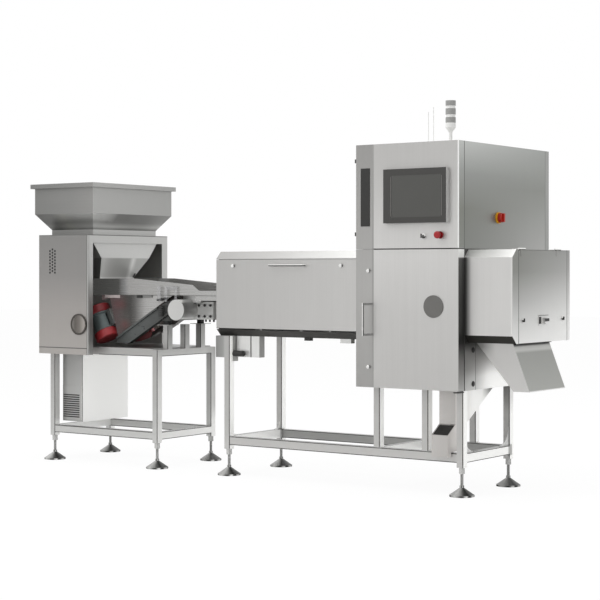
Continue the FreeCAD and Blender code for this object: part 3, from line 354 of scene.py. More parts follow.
def pane(name, front, alpha, rough):
    """Clear sheet: part see-through, part glossy."""
    build = Nodes(bpy.data.materials.new(name))
    cloud = build.grain((PANE_GRAIN,) * 3)
    shader = build.surface()
    shader.inputs["Alpha"].default_value = alpha
    build.link(build.scaled(build.tint(front), build.spread(cloud, 0.94, 1.0)),
               shader.inputs["Base Color"])
    build.link(build.spread(cloud, rough, rough + 0.03), shader.inputs["Roughness"])
    return build.owner


def line(axis, low, high, code, **more):
    """A narrow stripe across an axis; it marks a seam, a painted highlight along an edge or a
    stripe of painted shade.
    """
    limits = {axis: (low, high)}
    limits.update(more)
    return limits, LINE_SOFT, code


# Sheet steel of the machine, its tones painted with light, shade and reflections. A stop is a
# place on an axis, as in at(), and the tone seen there.

# The doors' right side is painted with reflections and shade: light low down, dark from 0.8 m up,
# a white band near 1.25 m where the hood's top is mirrored, and grey above.
DOOR_SIDE_REFLECTION = ("Z", ((0.55, "BEBEBC"), (0.64, "9A9997"), (0.72, "7E7D7B"), (0.80, "3A3938"),
                   (0.86, "444442"), (1.05, "525250"), (1.24, "6C6C6A"), (1.246, "EDEDEB"),
                   (1.29, "EDEDEB"), (1.293, "8A8C87"), (1.5, "84867F"), (1.7, "A0A29F"),
                   (1.85, "C2C4C1")))
# Door fronts: painted light, lighter at mid height; faces turned down painted dark as shade; a
# painted white highlight along the upper door's front right edge.
DOOR_STEEL = brushed("door_steel", ("Z", ((0.55, "BFBEBC"), (0.95, "C6C5C3"), (1.25, "D0CFCD"),
                                          (1.45, "CBCAC8"), (1.7, "BFBEBC"), (1.85, "BBBAB8"))),
                     side=DOOR_SIDE_REFLECTION, under="4A4A48", contrast=0.025,
                     marks=(line("X", -0.0035, 0.01, "FAFAF8", Y=(-0.01, 0.007), Z=(1.293, 1.9)),))
# Door bands: painted light, lighter at mid height, and a slightly darker stripe of painted shade
# along the band's right edge.
BAND_STEEL = brushed("band_steel", ("Z", ((0.55, "A3A2A0"), (1.1, "B0AFAD"), (1.5, "A7A6A4"),
                                          (1.85, "9C9B99"))), contrast=0.025,
                     marks=(line("X", -0.531, -0.52, "A09F9D"),))
# Upper housing: its right side painted with reflections, lighter and darker by height and depth;
# top faces painted lighter and faces turned down dark, as painted light and shade. The dark
# stripes are seams; the last mark paints the rear strip a lighter grey.
HOUSING_STEEL = brushed(
    "housing_steel", "B4B5AF", contrast=0.02,
    side=("meet", "Y", 0.07, 0.95,
          ("Z", ((1.29, "878985"), (1.5, "83857F"), (1.68, "999B98"), (1.85, "C4C6C3"))),
          ("Z", ((1.29, "B2B2B0"), (1.45, "A3A4A1"), (1.62, "91938E"), (1.85, "A6A8A5")))),
    top="D8D9D6", under="4A4A48",
    marks=(line("Y", 0.060, 0.066, "727470"), line("Y", 0.973, 0.979, "7E7F7B"),
           line("Y", 0.979, 1.03, "A3A4A2")))
# Lower housing: its right side painted with light and shade, pale low down and dark just under the
# outfeed hood; top faces lighter and faces turned down dark; a painted glow on the right side
# stands in for bounced light. The dark stripes are seams.
LOWER_STEEL = brushed(
    "lower_housing_steel", "B4B5AF", contrast=0.02,
    side=("meet", "Y", 0.08, 0.34,
          ("Z", ((0.55, "D4D4D2"), (0.61, "C6C6C4"), (0.66, "A3A2A0"), (0.75, "949391"),
                 (0.80, "3E3D3B"))),
          ("Z", ((0.55, "F6F6F4"), (0.62, "F0F0EE"), (0.70, "BCBBB9"), (0.77, "8A8987"),
                 (0.80, "3A3937")))),
    top="D8D9D6", under="4A4A48",
    lit=(({"facing": RIGHTWARD, "Z": (0.50, 0.68), "Y": (0.24, 0.9)}, 0.06, 0.28),),
    marks=(line("Y", 0.060, 0.066, "5A5A58"), line("Y", 0.1755, 0.1785, "3A3A38")))
# Infeed hood: painted light and shade by the way each face turns; sloping faces lighter towards
# the right, the side darker and the undersides dark as shade; the front a painted reflection
# gradient.
INFEED_SLOPE = ("X", ((-1.64, "B0AFAD"), (-1.3, "BDBCBA"), (-0.63, "DADAD8")))
HOOD_STEEL = brushed("hood_steel", ("X", ((-1.64, "BAB9B7"), (-1.1, "C1C0BE"),
                                          (-0.63, "C7C6C4"))),
                     side="8F918B", slope=INFEED_SLOPE, top="D8D8D6", lean="4E4D4B",
                     under="3A3938", contrast=0.025)
# Outfeed hood: the front painted dark next to the cabinet, a painted reflection of the door's
# side; right side painted lighter low down and darker up high; top faces lighter and faces turned
# down dark, as painted light and shade; a painted highlight along the top. The two grey stripes
# are the flap's seams.
END_STEEL = brushed(
    "end_hood_steel",
    ("X", ((0.0, "4E4E4C"), (0.010, "60605E"), (0.020, "A4A4A2"), (0.038, "CFCECC"),
           (0.27, "D0CFCD"), (0.275, "DEDDDB"))),
    side=("meet", "Y", 0.13, 0.68,
          ("Z", ((0.80, "F2F2F0"), (0.9, "DCDCDA"), (1.02, "BABAB8"), (1.17, "90918C"),
                 (1.285, "8A8B86"))),
          ("Z", ((0.80, "FFFFFD"), (0.9, "F4F4F2"), (1.02, "DBDBD9"), (1.17, "B2B2B0"),
                 (1.285, "A1A19F")))),
    slope="E2E2E0", top="E2E2E0", lean="34332F", under="34332F", contrast=0.02,
    marks=(line("Y", 0.127, 0.1325, "686866", X=(0.27, 0.29)),
           line("Y", 0.6785, 0.684, "686866", X=(0.27, 0.29)),
           ({"Z": (1.2865, 1.33)}, 0.0005, "F6F6F4")))
# Machine stand: painted light and shade, lighter low down, right sides near white, tops and faces
# turned down darker; a painted glow on right-facing faces stands in for bounced light; painted
# shade on the rear right post beside the chute; the rear lower rails painted a darker grey.
STAND_STEEL = brushed(
    "stand_steel", ("Z", ((0.15, "C6C5C3"), (0.3, "BEBDBB"), (0.8, "B6B5B3"))), metallic=0.6,
    rough=(0.3, 0.38), side="EEEEEC", top="9C9C9A", under="6A6A67", contrast=0.006, relief=0.01,
    lit=(({"facing": RIGHTWARD}, 0.05, 0.3),),
    marks=(({"Y": (0.55, 0.59), "X": (-0.06, -0.004), "Z": (0.44, 0.60)}, 0.05, "444442"),
           ({"Y": (0.55, 0.59), "X": (-1.6, 0.0), "Z": (0.17, 0.23)}, 0.004, "A3A3A1")))

# Sheet steel of the feeder, its tones painted with light, shade and reflections.

# Feeder stand: painted light and shade, lighter low down, right sides light low down and darker
# towards the case, tops and faces turned down darker; a painted glow on right-facing faces stands
# in for bounced light; the rear posts painted darker.
FEEDER_STAND = brushed(
    "feeder_stand_steel", ("Z", ((0.15, "CCCCCA"), (0.4, "BCBCBA"), (0.7, "B2B1AF"))),
    metallic=0.6, rough=(0.3, 0.38), side=("Z", ((0.15, "E6E6E4"), (0.5, "D8D8D6"),
                                                 (0.70, "C4C4C2"), (0.85, "A8A8A6"))),
    top="8A8A88", under="5A5A58", contrast=0.006, relief=0.01,
    lit=(({"facing": RIGHTWARD, "Z": (0.0, 0.68)}, 0.05, 0.2),),
    marks=(({"Y": (0.55, 0.62), "X": (-2.96, -2.91), "Z": (0.22, 0.66)}, 0.004, "5A5A58"),
           ({"Y": (0.55, 0.8), "X": (-2.13, -2.07), "Z": (0.3, 0.8)}, 0.05, "9E9E9C"),))
# Feeder case: painted light, its front and right side lighter towards the bottom; top faces
# lighter; the rear part painted lighter; the flange right of the front's seam painted light. The
# dark stripes are seams.
CASE_STEEL = brushed(
    "case_steel", ("Z", ((0.66, "B0ACA8"), (0.95, "A5A19E"), (1.15, "959391"),
                         (1.39, "8E8D8B"))),
    side=("Z", ((0.66, "A8A8A6"), (0.85, "8E8E8C"), (1.0, "B4B4B2"), (1.1, "CACAC8"),
                (1.39, "C6C6C4"))), top="C4C4C2", contrast=0.02,
    marks=(({"Y": (0.55, 0.8), "X": (-2.96, -2.56)}, 0.01, "D8D8D6"),
           line("Z", 0.700, 0.706, "6A6A68", Y=(-0.06, -0.03)),
           line("X", -2.564, -2.559, "6E6E6C", Y=(-0.06, -0.03)),
           line("X", -2.559, -2.54, "B9B9B7", Y=(-0.06, -0.03)),
           line("Z", 1.390, 1.396, "7A7A78")))
# Painted reflections and light for the hopper: the lower chute's right side with a light streak,
# the slopes turned right and the slopes turned to the front, each lighter or darker by what it
# mirrors.
CHUTE_LOWER = ("Y", ((0.139, "ACACAA"), (0.17, "A2A2A0"), (0.206, "989896"), (0.25, "90908E"),
                     (0.30, "8C8C8A"), (0.345, "888886"), (0.373, "8A8A88"), (0.405, "B0B0AE"),
                     (0.44, "8E8E8C")))
SLOPE_RIGHT = ("meet", "Z", 1.45, 1.49,
               ("Y", ((0.06, "A0A09E"), (0.2, "9C9C9A"), (0.29, "929290"), (0.38, "8C8C8A"),
                      (0.47, "8E8E8C"), (0.58, "9C9C9A"))),
               ("Y", ((-0.026, "F0F0EE"), (0.063, "D4D4D2"), (0.107, "C0C0BE"),
                      (0.153, "A6A6A4"), (0.198, "7E7E7C"), (0.29, "767674"),
                      (0.48, "7C7C7A"), (0.71, "969694"))))
SLOPE_FRONT = ("X", ((-2.97, "646462"), (-2.863, "6E6E6C"), (-2.778, "94948F"),
                     (-2.694, "9A9A98"), (-2.611, "A4A4A2"), (-2.545, "A8A8A6")))
# Hopper: the side, top and leaning tones are painted light, shade and reflections; painted glows
# stand in for bounced light inside the hopper and the chute.
HOPPER_STEEL = brushed(
    "hopper_steel", ("X", ((-3.02, "838381"), (-2.7, "8E8E8C"), (-2.5, "989795"))), "X",
    side=("meet", "Z", 1.25, 1.256, CHUTE_LOWER,
          ("meet", "Z", 1.42, 1.53,
           ("meet", "Z", 1.385, 1.395, "DADAD8", "C4C4C2"),
           ("Y", ((-0.06, "B4B4B2"), (0.35, "AEAEAC"), (0.71, "AAAAA8"))))),
    top="C8C8C6", lean=("turn", SLOPE_FRONT, SLOPE_RIGHT), contrast=0.03,
    lit=(({"Z": (1.434, 1.46), "facing": (0.4, 0.9)}, 0.012, 0.6),
         ({"Z": (1.434, 1.46), "facing": (-1.0, 0.3)}, 0.012, 0.2),
         ({"Z": (1.0, 1.252), "facing": (0.3, 1.5)}, 0.002, 0.47)))
# Side sheets under the tray: painted reflections, dark on the left and light to the right.
SIDE_SHEET = ("X", ((-2.47, "5E5252"), (-2.41, "4C4745"), (-2.37, "4C4B49"), (-2.33, "686765"),
                    (-2.29, "908F8D"), (-2.25, "AEADAB"), (-2.2, "B6B5B3")))
# Tray: painted reflection and shade, dark at the left end and inside the trough; a darker patch
# and reddish patches on the side sheet are painted reflections, the red ones of the motor caps; a
# painted glow at the left end stands in for bounced light. The grey stripe along the top is the
# fold of the lip.
TRAY_STEEL = brushed(
    "tray_steel", ("X", ((-2.87, "4E4E4C"), (-2.46, "525250"), (-2.41, "808080"),
                         (-2.37, "A8A7A5"), (-1.45, "BCBCBA"))), "X", metallic=0.7,
    rough=(0.26, 0.28), contrast=0.006, relief=0.01, top="6E6E6C", side="B4B4B1",
    marks=(({"Z": (0.6, 1.026), "X": (-2.7, -1.95)}, 0.001, SIDE_SHEET),
           ({"Z": (0.84, 0.93), "X": (-2.47, -2.36), "Y": (0.132, 0.14)}, 0.03, "646260"),
           ({"Z": (0.83, 0.865), "X": (-2.44, -2.38), "Y": (0.132, 0.14)}, 0.025, "8A4446"),
           ({"Z": (0.955, 0.985), "X": (-2.50, -2.41), "Y": (0.132, 0.14)}, 0.025, "7A3A3C"),
           line("Z", 1.0262, 1.0292, "5A5A58", Y=(0.12, 0.14))),
    lit=(({"X": (-2.9, -2.40)}, 0.04, 0.55),))

# Chutes under the machine.

# Outfeed chute sides: a painted highlight along the bottom edge and painted shade at the top under
# the hood's flap.
CHUTE_FACE = ("Z", ((0.5585, "F0F0EE"), (0.561, "A6A7A3"), (0.7, "9B9C98"), (0.752, "989995"),
                    (0.765, "BCBCB9"), (0.783, "B4B4B1"), (0.790, "8A8A88"),
                    (0.796, "4A4A48")))
# Outfeed chute: top faces lighter; the part at the cabinet's right painted near white as painted
# light; darker patches under the flap and at the rear top as painted shade; a painted glow on
# right-facing faces stands in for bounced light.
CHUTE_STEEL = brushed(
    "chute_steel", ("Z", ((0.556, "C9C8C6"), (0.7, "C2C1BF"), (0.8, "BEBDBB"))),
    side=CHUTE_FACE, slope=CHUTE_FACE, top="E0E0DE", contrast=0.015,
    lit=(({"X": (-0.2, 0.0), "facing": RIGHTWARD}, 0.05, 0.4),),
    marks=(({"X": (0.02, 0.12), "Z": (0.74, 0.85)}, 0.04, "7A7977"),
           ({"X": (-0.2, 0.0)}, 0.001,
            ("meet", "Y", 0.11, 0.30,
             ("X", ((-0.173, "C4C1BE"), (-0.075, "BAB7B4"), (-0.07, "ECECEA"))), "E4E4E2")),
           ({"X": (-0.2, 0.0), "Z": (0.51, 0.62), "Y": (0.42, 0.60)}, 0.045, "5A5A58")))

# Polished steel with painted reflections, its bands given by direction.

CHROME = polished("polished_steel", "Z", (
    (-1.0, "2E2E2C"), (-0.1, "3E3E3C"), (0.15, "B4B4B2"), (0.4, "F4F4F2"), (1.0, "E4E4E2")),
    metallic=0.5, rough=(0.16, 0.22))
HANDLE_CHROME = polished("handle_chrome", "X", (
    (-1.0, "F8F8F6"), (0.2, "F4F4F2"), (0.45, "2E2E2C"), (0.8, "3A3A38"), (0.96, "9A9A98"),
    (1.0, "B8B8B6")))
LOCK_CHROME = polished("lock_chrome", "X", (
    (-1.0, "F8F8F6"), (0.25, "F2F2F0"), (0.45, "2E2E2C"), (1.0, "242422")))
FLAP_LOCK_CHROME = polished("flap_lock_chrome", "Z", (
    (-1.0, "242422"), (-0.2, "2E2E2C"), (0.0, "3A3A38"), (0.1, "F4F4F2"), (1.0, "F8F8F6")))
UPRIGHT_CHROME = polished("upright_chrome", "X", (
    (-1.0, "8A8A88"), (-0.8, "7E7E7C"), (-0.5, "D0D0CE"), (-0.1, "E4E4E2"), (0.3, "5A5A58"),
    (0.6, "3C3C3A"), (0.8, "DADAD8"), (1.0, "A6A6A4")), metallic=0.25)
FOOT_CHROME = polished("foot_chrome", "X", (
    (-1.0, "1A1A18"), (-0.78, "141412"), (-0.56, "242422"), (-0.4, "A4A4A2"), (-0.1, "CECECC"),
    (0.15, "A8A8A6"), (0.34, "4A4A48"), (0.5, "1E1E1C"), (0.6, "6A6A68"), (0.68, "D0D0CE"),
    (0.8, "F4F4F2"), (0.88, "161614"), (0.96, "2A2A28"), (1.0, "DADAD8")), rough=(0.3, 0.4))
# Cross tube: a painted reflection, darker on its near side; top faces lighter and faces turned
# down darker, as painted light and shade.
TUBE_CHROME = brushed(
    "cross_tube_steel", ("X", ((-2.0, "CCCCCA"), (-1.90, "CACAC8"), (-1.77, "C2C2C0"))), "X",
    metallic=0.45, rough=(0.3, 0.32), top="E4E4E2", contrast=0.006, under="6A6A68",
    side=("meet", "Y", 0.10, 0.19, "7E7E7C", "B0B0AE"))

# Painted, moulded and other surfaces.

# Top faces painted lighter, as painted light.
DARK_STEEL = clouded("dark_coated_steel", "4A4A48", metallic=0.5, rough=(0.3, 0.42),
                  top="8A8A88")
# Sloping beams: painted light and shade, the near beam darker to the right and the far beam
# lighter; sloping and top faces lighter.
BEAM_STEEL = clouded("beam_coat_and_painted_light", ("meet", "Y", 0.2, 0.4,
                                  ("X", ((-2.49, "6A6E6D"), (-2.3, "5C5F5E"),
                                         (-2.05, "464644"))), "8E8A88"),
                  metallic=0.5, rough=(0.25, 0.4), slope="A8A8A6", top="A8A8A6", contrast=0.1)
BLACK = clouded("black_plastic", "1C1B1A", rough=(0.4, 0.55))
PLATE_BLACK = clouded("plate_black", "242422", rough=(0.35, 0.45), contrast=0.04, scale=60.0)
# Screen frame: its sides painted pale and its top dark, as painted light and shade.
BEZEL = clouded("screen_frame", "3E3D3B", metallic=0.1, rough=(0.4, 0.5), side="C6C6C4",
             top="2E2E2C", contrast=0.03)
SCREEN = clouded("screen_face", "4C4C49", rough=(0.3, 0.4), contrast=0.02, scale=6.0)
SCREEN_LINE = clouded("screen_line", "716F6C", rough=(0.3, 0.4), contrast=0.03)
# Stop button: painted light, brighter on the dome's front and darker towards the back.
RED = clouded("red_plastic", ("Y", ((-0.04, "A0181E"), (-0.036, "960E16"), (-0.012, "74060C"))),
           rough=(0.25, 0.35))
KNOB_RED = clouded("knob_red", "B5200F", rough=(0.25, 0.35))
# Key switch collar: a painted reflection, dark below and white on top; the stop's collar is plain
# red.
COLLARS = clouded("collar_red_and_reflection", ("meet", "X", -0.16, -0.15,
                                 ("Z", ((1.340, "2E2E2C"), (1.354, "4A4A48"),
                                        (1.358, "F4F4F2"), (1.37, "FAFAF8"))),
                                 "8A1016"), rough=(0.2, 0.3))
# Motor caps: painted light, lighter and darker by height and lighter on top faces.
RED_PAINT = clouded("dark_red_paint", ("Z", ((0.72, "7E2226"), (0.80, "9A2C30"), (0.95, "7A2226"),
                                          (1.0, "A03034"))),
                 rough=(0.35, 0.5), relief=0.1, top="B04044")
YELLOW = clouded("yellow_plastic", "E8A81C", rough=(0.3, 0.4))
MOTOR_GREY = clouded("motor_paint", "5C6666", metallic=0.2, rough=(0.4, 0.55), relief=0.1)
BELT_WHITE = clouded("food_belt", "E6EAEC", rough=(0.45, 0.6), relief=0.15, scale=400.0)
# Grey boxes: painted light, darker at the left end and the right sides near white.
BOX_GREY = clouded("box_paint", ("X", ((-2.897, "767674"), (-2.855, "A8A8A6"), (-2.728, "B8B8B6"),
                                    (-2.6, "D0D0CE"))), metallic=0.1, rough=(0.4, 0.5),
                side="F2F2F0", contrast=0.02)
RUBBER = clouded("black_rubber", "1A1A1A", rough=(0.6, 0.8), relief=0.2)
LENS_GREY = clouded("lens_grey", "9C9C9A", rough=(0.3, 0.4), contrast=0.03)
RING_WHITE = clouded("beacon_white", "F2F2F0", rough=(0.25, 0.35), contrast=0.02)
WIRE_PALE = clouded("antenna_wire", "F0F0EE", rough=(0.4, 0.5), contrast=0.02)
DISC_GREY = clouded("disc_grey", "6B6A67", metallic=0.2, rough=(0.35, 0.45), contrast=0.03)
# Electrical box: painted light, darker at the left end and the right sides near white; a painted
# glow on right-facing faces stands in for bounced light.
LOUVRE_STEEL = brushed(
    "electrical_box_steel", ("X", ((-2.897, "7E7E7C"), (-2.855, "ACACAA"), (-2.728, "BABAB8"))),
    metallic=0.1, rough=(0.4, 0.5), side="F4F4F2", contrast=0.006, relief=0.01,
    lit=(({"facing": RIGHTWARD}, 0.05, 0.3),))
CREAM = clouded("cream_block", "C9C0B6", rough=(0.4, 0.5))
RIM_DARK = clouded("window_rim", "4E4A46", metallic=0.5, rough=(0.25, 0.35))
# Hood fittings: darker at the left end; sides greyer and faces turned down dark, as painted light
# and shade.
FITTING_STEEL = brushed("fitting_steel", ("X", ((-1.65, "8A8A88"), (-1.6, "9E9E9C"),
                                                (-1.54, "E4E4E2"), (-0.7, "D8D8D6"))),
                        side="A8A8A6", under="5A5A58", contrast=0.02)
LINE_DARK = clouded("edge_shadow", "383836", rough=(0.5, 0.6))
LINE_GREY = clouded("edge_grey", "7A7A78", rough=(0.5, 0.6))
PALE_RIB = clouded("pale_rib", "D6CAC8", metallic=0.3, rough=(0.3, 0.4))
# Window glass: a painted reflection, darker in the middle and light at the right.
WINDOW = pane("window_pane", ("X", ((-2.69, "8E8A85"), (-2.655, "645F5A"), (-2.62, "7E7872"),
                                    (-2.575, "B4AEA8"))), 0.9, 0.08)
GUARD = pane("guard_pane", "BEBEC0", 0.25, 0.1)

# Material of each part; their colours hold painted light, shade and reflections.
SURFACE_LOOKS = {
    "main_frame": STAND_STEEL, "levelling_feet": FOOT_CHROME, "jam_nuts": UPRIGHT_CHROME,
    "lower_housing": LOWER_STEEL, "upper_housing": HOUSING_STEEL, "hinge_posts": DARK_STEEL,
    "infeed_hood": HOOD_STEEL, "outfeed_hood": END_STEEL, "outfeed_chute": CHUTE_STEEL,
    "reject_duct": CHUTE_STEEL, "belt_bed": STAND_STEEL, "conveyor_belt": BELT_WHITE,
    "belt_drive": BOX_GREY, "xray_generator": BOX_GREY, "line_detector": BOX_GREY,
    "air_manifold": STAND_STEEL, "cabinet_electrics": BOX_GREY, "beacon_stem": RING_WHITE,
    "beacon_lenses": LENS_GREY, "antennas": WIRE_PALE, "switch_plate": YELLOW,
    "hood_fittings": FITTING_STEEL, "dark_fittings": BLACK, "feeder_frame": FEEDER_STAND,
    "feeder_case": CASE_STEEL, "hopper": HOPPER_STEEL, "window_ring": RIM_DARK,
    "window_glass": WINDOW, "electrical_box": LOUVRE_STEEL, "rubber_isolators": RUBBER,
    "upper_door_panel": DOOR_STEEL, "upper_door_band": BAND_STEEL, "upper_hinge_caps": DARK_STEEL,
    "blank_plate": PLATE_BLACK, "screen_unit": BEZEL, "screen_glass": SCREEN,
    "panel_collars": COLLARS, "stop_button": RED, "key_switch": CHROME,
    "lower_door_panel": DOOR_STEEL, "lower_door_band": BAND_STEEL, "door_handle": HANDLE_CHROME,
    "round_disc": DISC_GREY, "door_lock_low": LOCK_CHROME, "door_lock_high": LOCK_CHROME,
    "hood_cover": HOOD_STEEL, "cover_handle": CHROME, "cover_lock_left": LOCK_CHROME,
    "cover_lock_right": LOCK_CHROME, "end_flap": END_STEEL, "flap_lock_near": FLAP_LOCK_CHROME,
    "flap_lock_far": FLAP_LOCK_CHROME, "switch_knob": KNOB_RED, "head_roller": CHROME,
    "tail_roller": CHROME, "tray": TRAY_STEEL, "drive_beams": BEAM_STEEL,
    "cross_tube": TUBE_CHROME, "vibration_motors": MOTOR_GREY, "motor_caps": RED_PAINT,
}

for label, surface_look in SURFACE_LOOKS.items():
    for entry in nodes[label].material_slots:
        entry.material = surface_look


# Pieces

def settle(name, data, body, bevel=0.0):
    """Puts a mesh in the scene and on its body."""
    made = bpy.data.objects.new(name, data)
    bpy.context.scene.collection.objects.link(made)
    if bevel:
        edge = made.modifiers.new("edge", "BEVEL")
        edge.width = bevel
        edge.segments = 2
        edge.limit_method = "ANGLE"
    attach(made, body)
    return made


class Shape:
    """Collects boxes, prisms and rings in one mesh whose places are real ones."""

    def __init__(self):
        self.mesh = bmesh.new()

    def box(self, low, high):
        low = Vector(low)
        high = Vector(high)
        size = high - low
        place = Matrix.Translation((low + high) / 2) @ Matrix.Diagonal((*size, 1.0))
        bmesh.ops.create_cube(self.mesh, size=1.0, matrix=place)

    def prism(self, corners, push):
        """Flat polygon pushed along a vector."""
        first = [self.mesh.verts.new(corner) for corner in corners]
        second = [self.mesh.verts.new(Vector(corner) + Vector(push)) for corner in corners]
        count = len(corners)
        self.mesh.faces.new(first)
        self.mesh.faces.new(list(reversed(second)))
        for index in range(count):
            after = (index + 1) % count
            self.mesh.faces.new((first[after], first[index], second[index], second[after]))

    def lathe(self, centre, axis, profile, sides=40):
        """Closed ring swept about an axis; profile holds (radius, distance along the axis)."""
        centre = Vector(centre)
        axis = Vector(axis).normalized()
        side = axis.orthogonal().normalized()
        other = axis.cross(side)
        rings = []
        for step in range(sides):
            angle = 2 * math.pi * step / sides
            out = side * math.cos(angle) + other * math.sin(angle)
            rings.append([self.mesh.verts.new(centre + out * r + axis * d) for r, d in profile])
        count = len(profile)
        for step in range(sides):
            here = rings[step]
            there = rings[(step + 1) % sides]
            for index in range(count):
                after = (index + 1) % count
                self.mesh.faces.new((here[index], there[index], there[after], here[after]))

    def piece(self, name, material, body, record_slot, bevel=0.0):
        bmesh.ops.recalc_face_normals(self.mesh, faces=self.mesh.faces)
        data = bpy.data.meshes.new(name)
        self.mesh.to_mesh(data)
        self.mesh.free()
        data.materials.append(material)
        return settle(name, data, body, bevel)


def boxes(name, spans, material, body, record_slot, bevel=0.0):
    """Boxes from one place to another, counted as in at(), in one piece."""
    shape = Shape()
    for low, high in spans:
        shape.box(at(*low), at(*high))
    return shape.piece(name, material, body, record_slot, bevel)


# Repeats made by Geometry Nodes

ROW_INPUTS = {
    "Start": "NodeSocketVector", "Step": "NodeSocketVector", "Count": "NodeSocketInt",
    "Radius": "NodeSocketFloat", "Length": "NodeSocketFloat", "Turn": "NodeSocketVector",
    "Sides": "NodeSocketInt", "Finish": "NodeSocketMaterial",
}
ROW_NODES = {
    "given": "NodeGroupInput", "line": "GeometryNodeMeshLine", "rod": "GeometryNodeMeshCylinder",
    "place": "GeometryNodeInstanceOnPoints", "turn": "FunctionNodeEulerToRotation",
    "real": "GeometryNodeRealizeInstances", "paint": "GeometryNodeSetMaterial",
    "result": "NodeGroupOutput",
}
ROW_LINKS = (
    ("given", "Start", "line", "Start Location"), ("given", "Step", "line", "Offset"),
    ("given", "Count", "line", "Count"), ("given", "Radius", "rod", "Radius"),
    ("given", "Length", "rod", "Depth"), ("given", "Sides", "rod", "Vertices"),
    ("line", "Mesh", "place", "Points"), ("rod", "Mesh", "place", "Instance"),
    ("given", "Turn", "turn", "Euler"), ("turn", "Rotation", "place", "Rotation"),
    ("place", "Instances", "real", "Geometry"), ("real", "Geometry", "paint", "Geometry"),
    ("given", "Finish", "paint", "Material"), ("paint", "Geometry", "result", "Geometry"),
)
TURNS = {"x": (0.0, math.pi / 2, 0.0), "y": (math.pi / 2, 0.0, 0.0), "z": (0.0, 0.0, 0.0)}


def row_tree():
    """Rods along a line: named inputs give the line, the rod and its turn."""
    tree = bpy.data.node_groups.new("rod_row", "GeometryNodeTree")
    sockets = tree.interface
    sockets.new_socket("Geometry", in_out="OUTPUT", socket_type="NodeSocketGeometry")
    for name, kind in ROW_INPUTS.items():
        sockets.new_socket(name, in_out="INPUT", socket_type=kind)
    made = {name: tree.nodes.new(kind) for name, kind in ROW_NODES.items()}
    made["line"].mode = "OFFSET"
    for source, output, target, socket in ROW_LINKS:
        tree.links.new(made[source].outputs[output], made[target].inputs[socket])
    return tree


ROW = row_tree()
SOCKETS = {item.name: item.identifier for item in ROW.interface.items_tree
           if item.in_out == "INPUT"}


def bake_row(name, start, step, count, radius, length, axis, material):
    """One row of rods as a plain mesh."""
    holder = bpy.data.objects.new(name + "_row", bpy.data.meshes.new(name + "_row"))
    bpy.context.scene.collection.objects.link(holder)
    repeat = holder.modifiers.new("repeat", "NODES")
    repeat.node_group = ROW
    values = {"Start": tuple(start), "Step": tuple(step), "Count": count, "Radius": radius,
              "Length": length, "Turn": TURNS[axis], "Sides": 16, "Finish": material}
    for key, value in values.items():
        repeat[SOCKETS[key]] = value
    bpy.context.view_layer.update()
    ready = holder.evaluated_get(bpy.context.evaluated_depsgraph_get())
    mesh = bpy.data.meshes.new_from_object(ready)
    holder.modifiers.remove(repeat)
    bpy.data.objects.remove(holder)
    return mesh


def rows(name, parts, material, body):
    """Several rows in one piece, each given by start, step, count, radius, length and axis."""
    joined = bmesh.new()
    for index, part in enumerate(parts):
        joined.from_mesh(bake_row(name + str(index), *part, material))
    data = bpy.data.meshes.new(name)
    joined.to_mesh(data)
    joined.free()
    data.materials.append(material)
    return settle(name, data, body)


# Small pieces of the machine

TUBE_HALF = 0.020
LINE_PROUD = 0.0004
END_RAIL_TOP = 0.2245


def cabinet_side():
    """Two cover sheets on the right of the lower housing, with screws on washers."""
    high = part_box("lower_housing")[1]
    sheet = 0.0012
    bottom = 0.552
    top = 0.8005
    screw_y = 0.1515
    screw_low = 0.583
    screw_high = 0.760
    boxes("side_cover_sheets", (
        ((0, 0.063, bottom), (sheet, 0.1762, top)),
        ((0, 0.1778, bottom), (sheet, high.y - DOOR_FRONT - 0.002, top)),
    ), LOWER_STEEL, "machine", "brushed", 0.0004)
    washers = Shape()
    for z in (screw_low, screw_high):
        washers.lathe(at(sheet, screw_y, z), (1, 0, 0), ((0.007, 0.0), (0.0150, 0.0),
                                                         (0.0140, 0.003), (0.007, 0.004)))
    washers.piece("side_cover_washers", LINE_DARK, "machine", "dark_steel")
    screws = [(at(sheet + 0.0025, screw_y, screw_low), (0, 0, screw_high - screw_low), 2,
               0.0095, 0.005, "x")]
    rows("side_cover_screws", screws, BLACK, "machine")


def stop_mushroom():
    """Emergency stop: a domed head on a neck, with a wide ring behind it."""
    spot = at(-0.107, 0, 1.361)
    head = Shape()
    head.lathe(spot, (0, -1, 0), ((0.0, 0.040), (0.013, 0.0397), (0.0185, 0.0375), (0.0195, 0.034),
                                  (0.0195, 0.031), (0.0175, 0.029), (0.0120, 0.0265),
                                  (0.0125, 0.0145), (0.0, 0.0145)))
    head = head.piece("stop_mushroom", RED, "stop_button", "red")
    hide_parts("stop_button")
    ring = Shape()
    ring.lathe(spot, (0, -1, 0), ((0.0125, 0.0), (0.0195, 0.0), (0.0195, 0.006), (0.0175, 0.0085),
                                  (0.0125, 0.0085)))
    ring.piece("stop_ring", RED, "upper_door", "red")


def screen_trim():
    """Pale lines along both sides of the screen."""
    wide = 0.003
    boxes("screen_side_lines", [((x, -0.0284, 1.462), (x + wide, -0.0279, 1.670))
                                for x in (-0.3965, -0.0865)], SCREEN_LINE, "upper_door", "black")


def main_switch():
    """Red rotary grip on the yellow disc."""
    grip = Shape()
    grip.lathe(at(0, 0.426, 1.459), (1, 0, 0), ((0.0, 0.0086), (0.0255, 0.0086), (0.0265, 0.012),
                                                (0.0255, 0.027), (0.023, 0.030), (0.0, 0.030)))
    grip.box(at(0.029, 0.4195, 1.436), at(0.040, 0.4325, 1.482))
    grip = grip.piece("switch_grip", KNOB_RED, "switch_knob", "red", 0.0012)
    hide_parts("switch_knob")


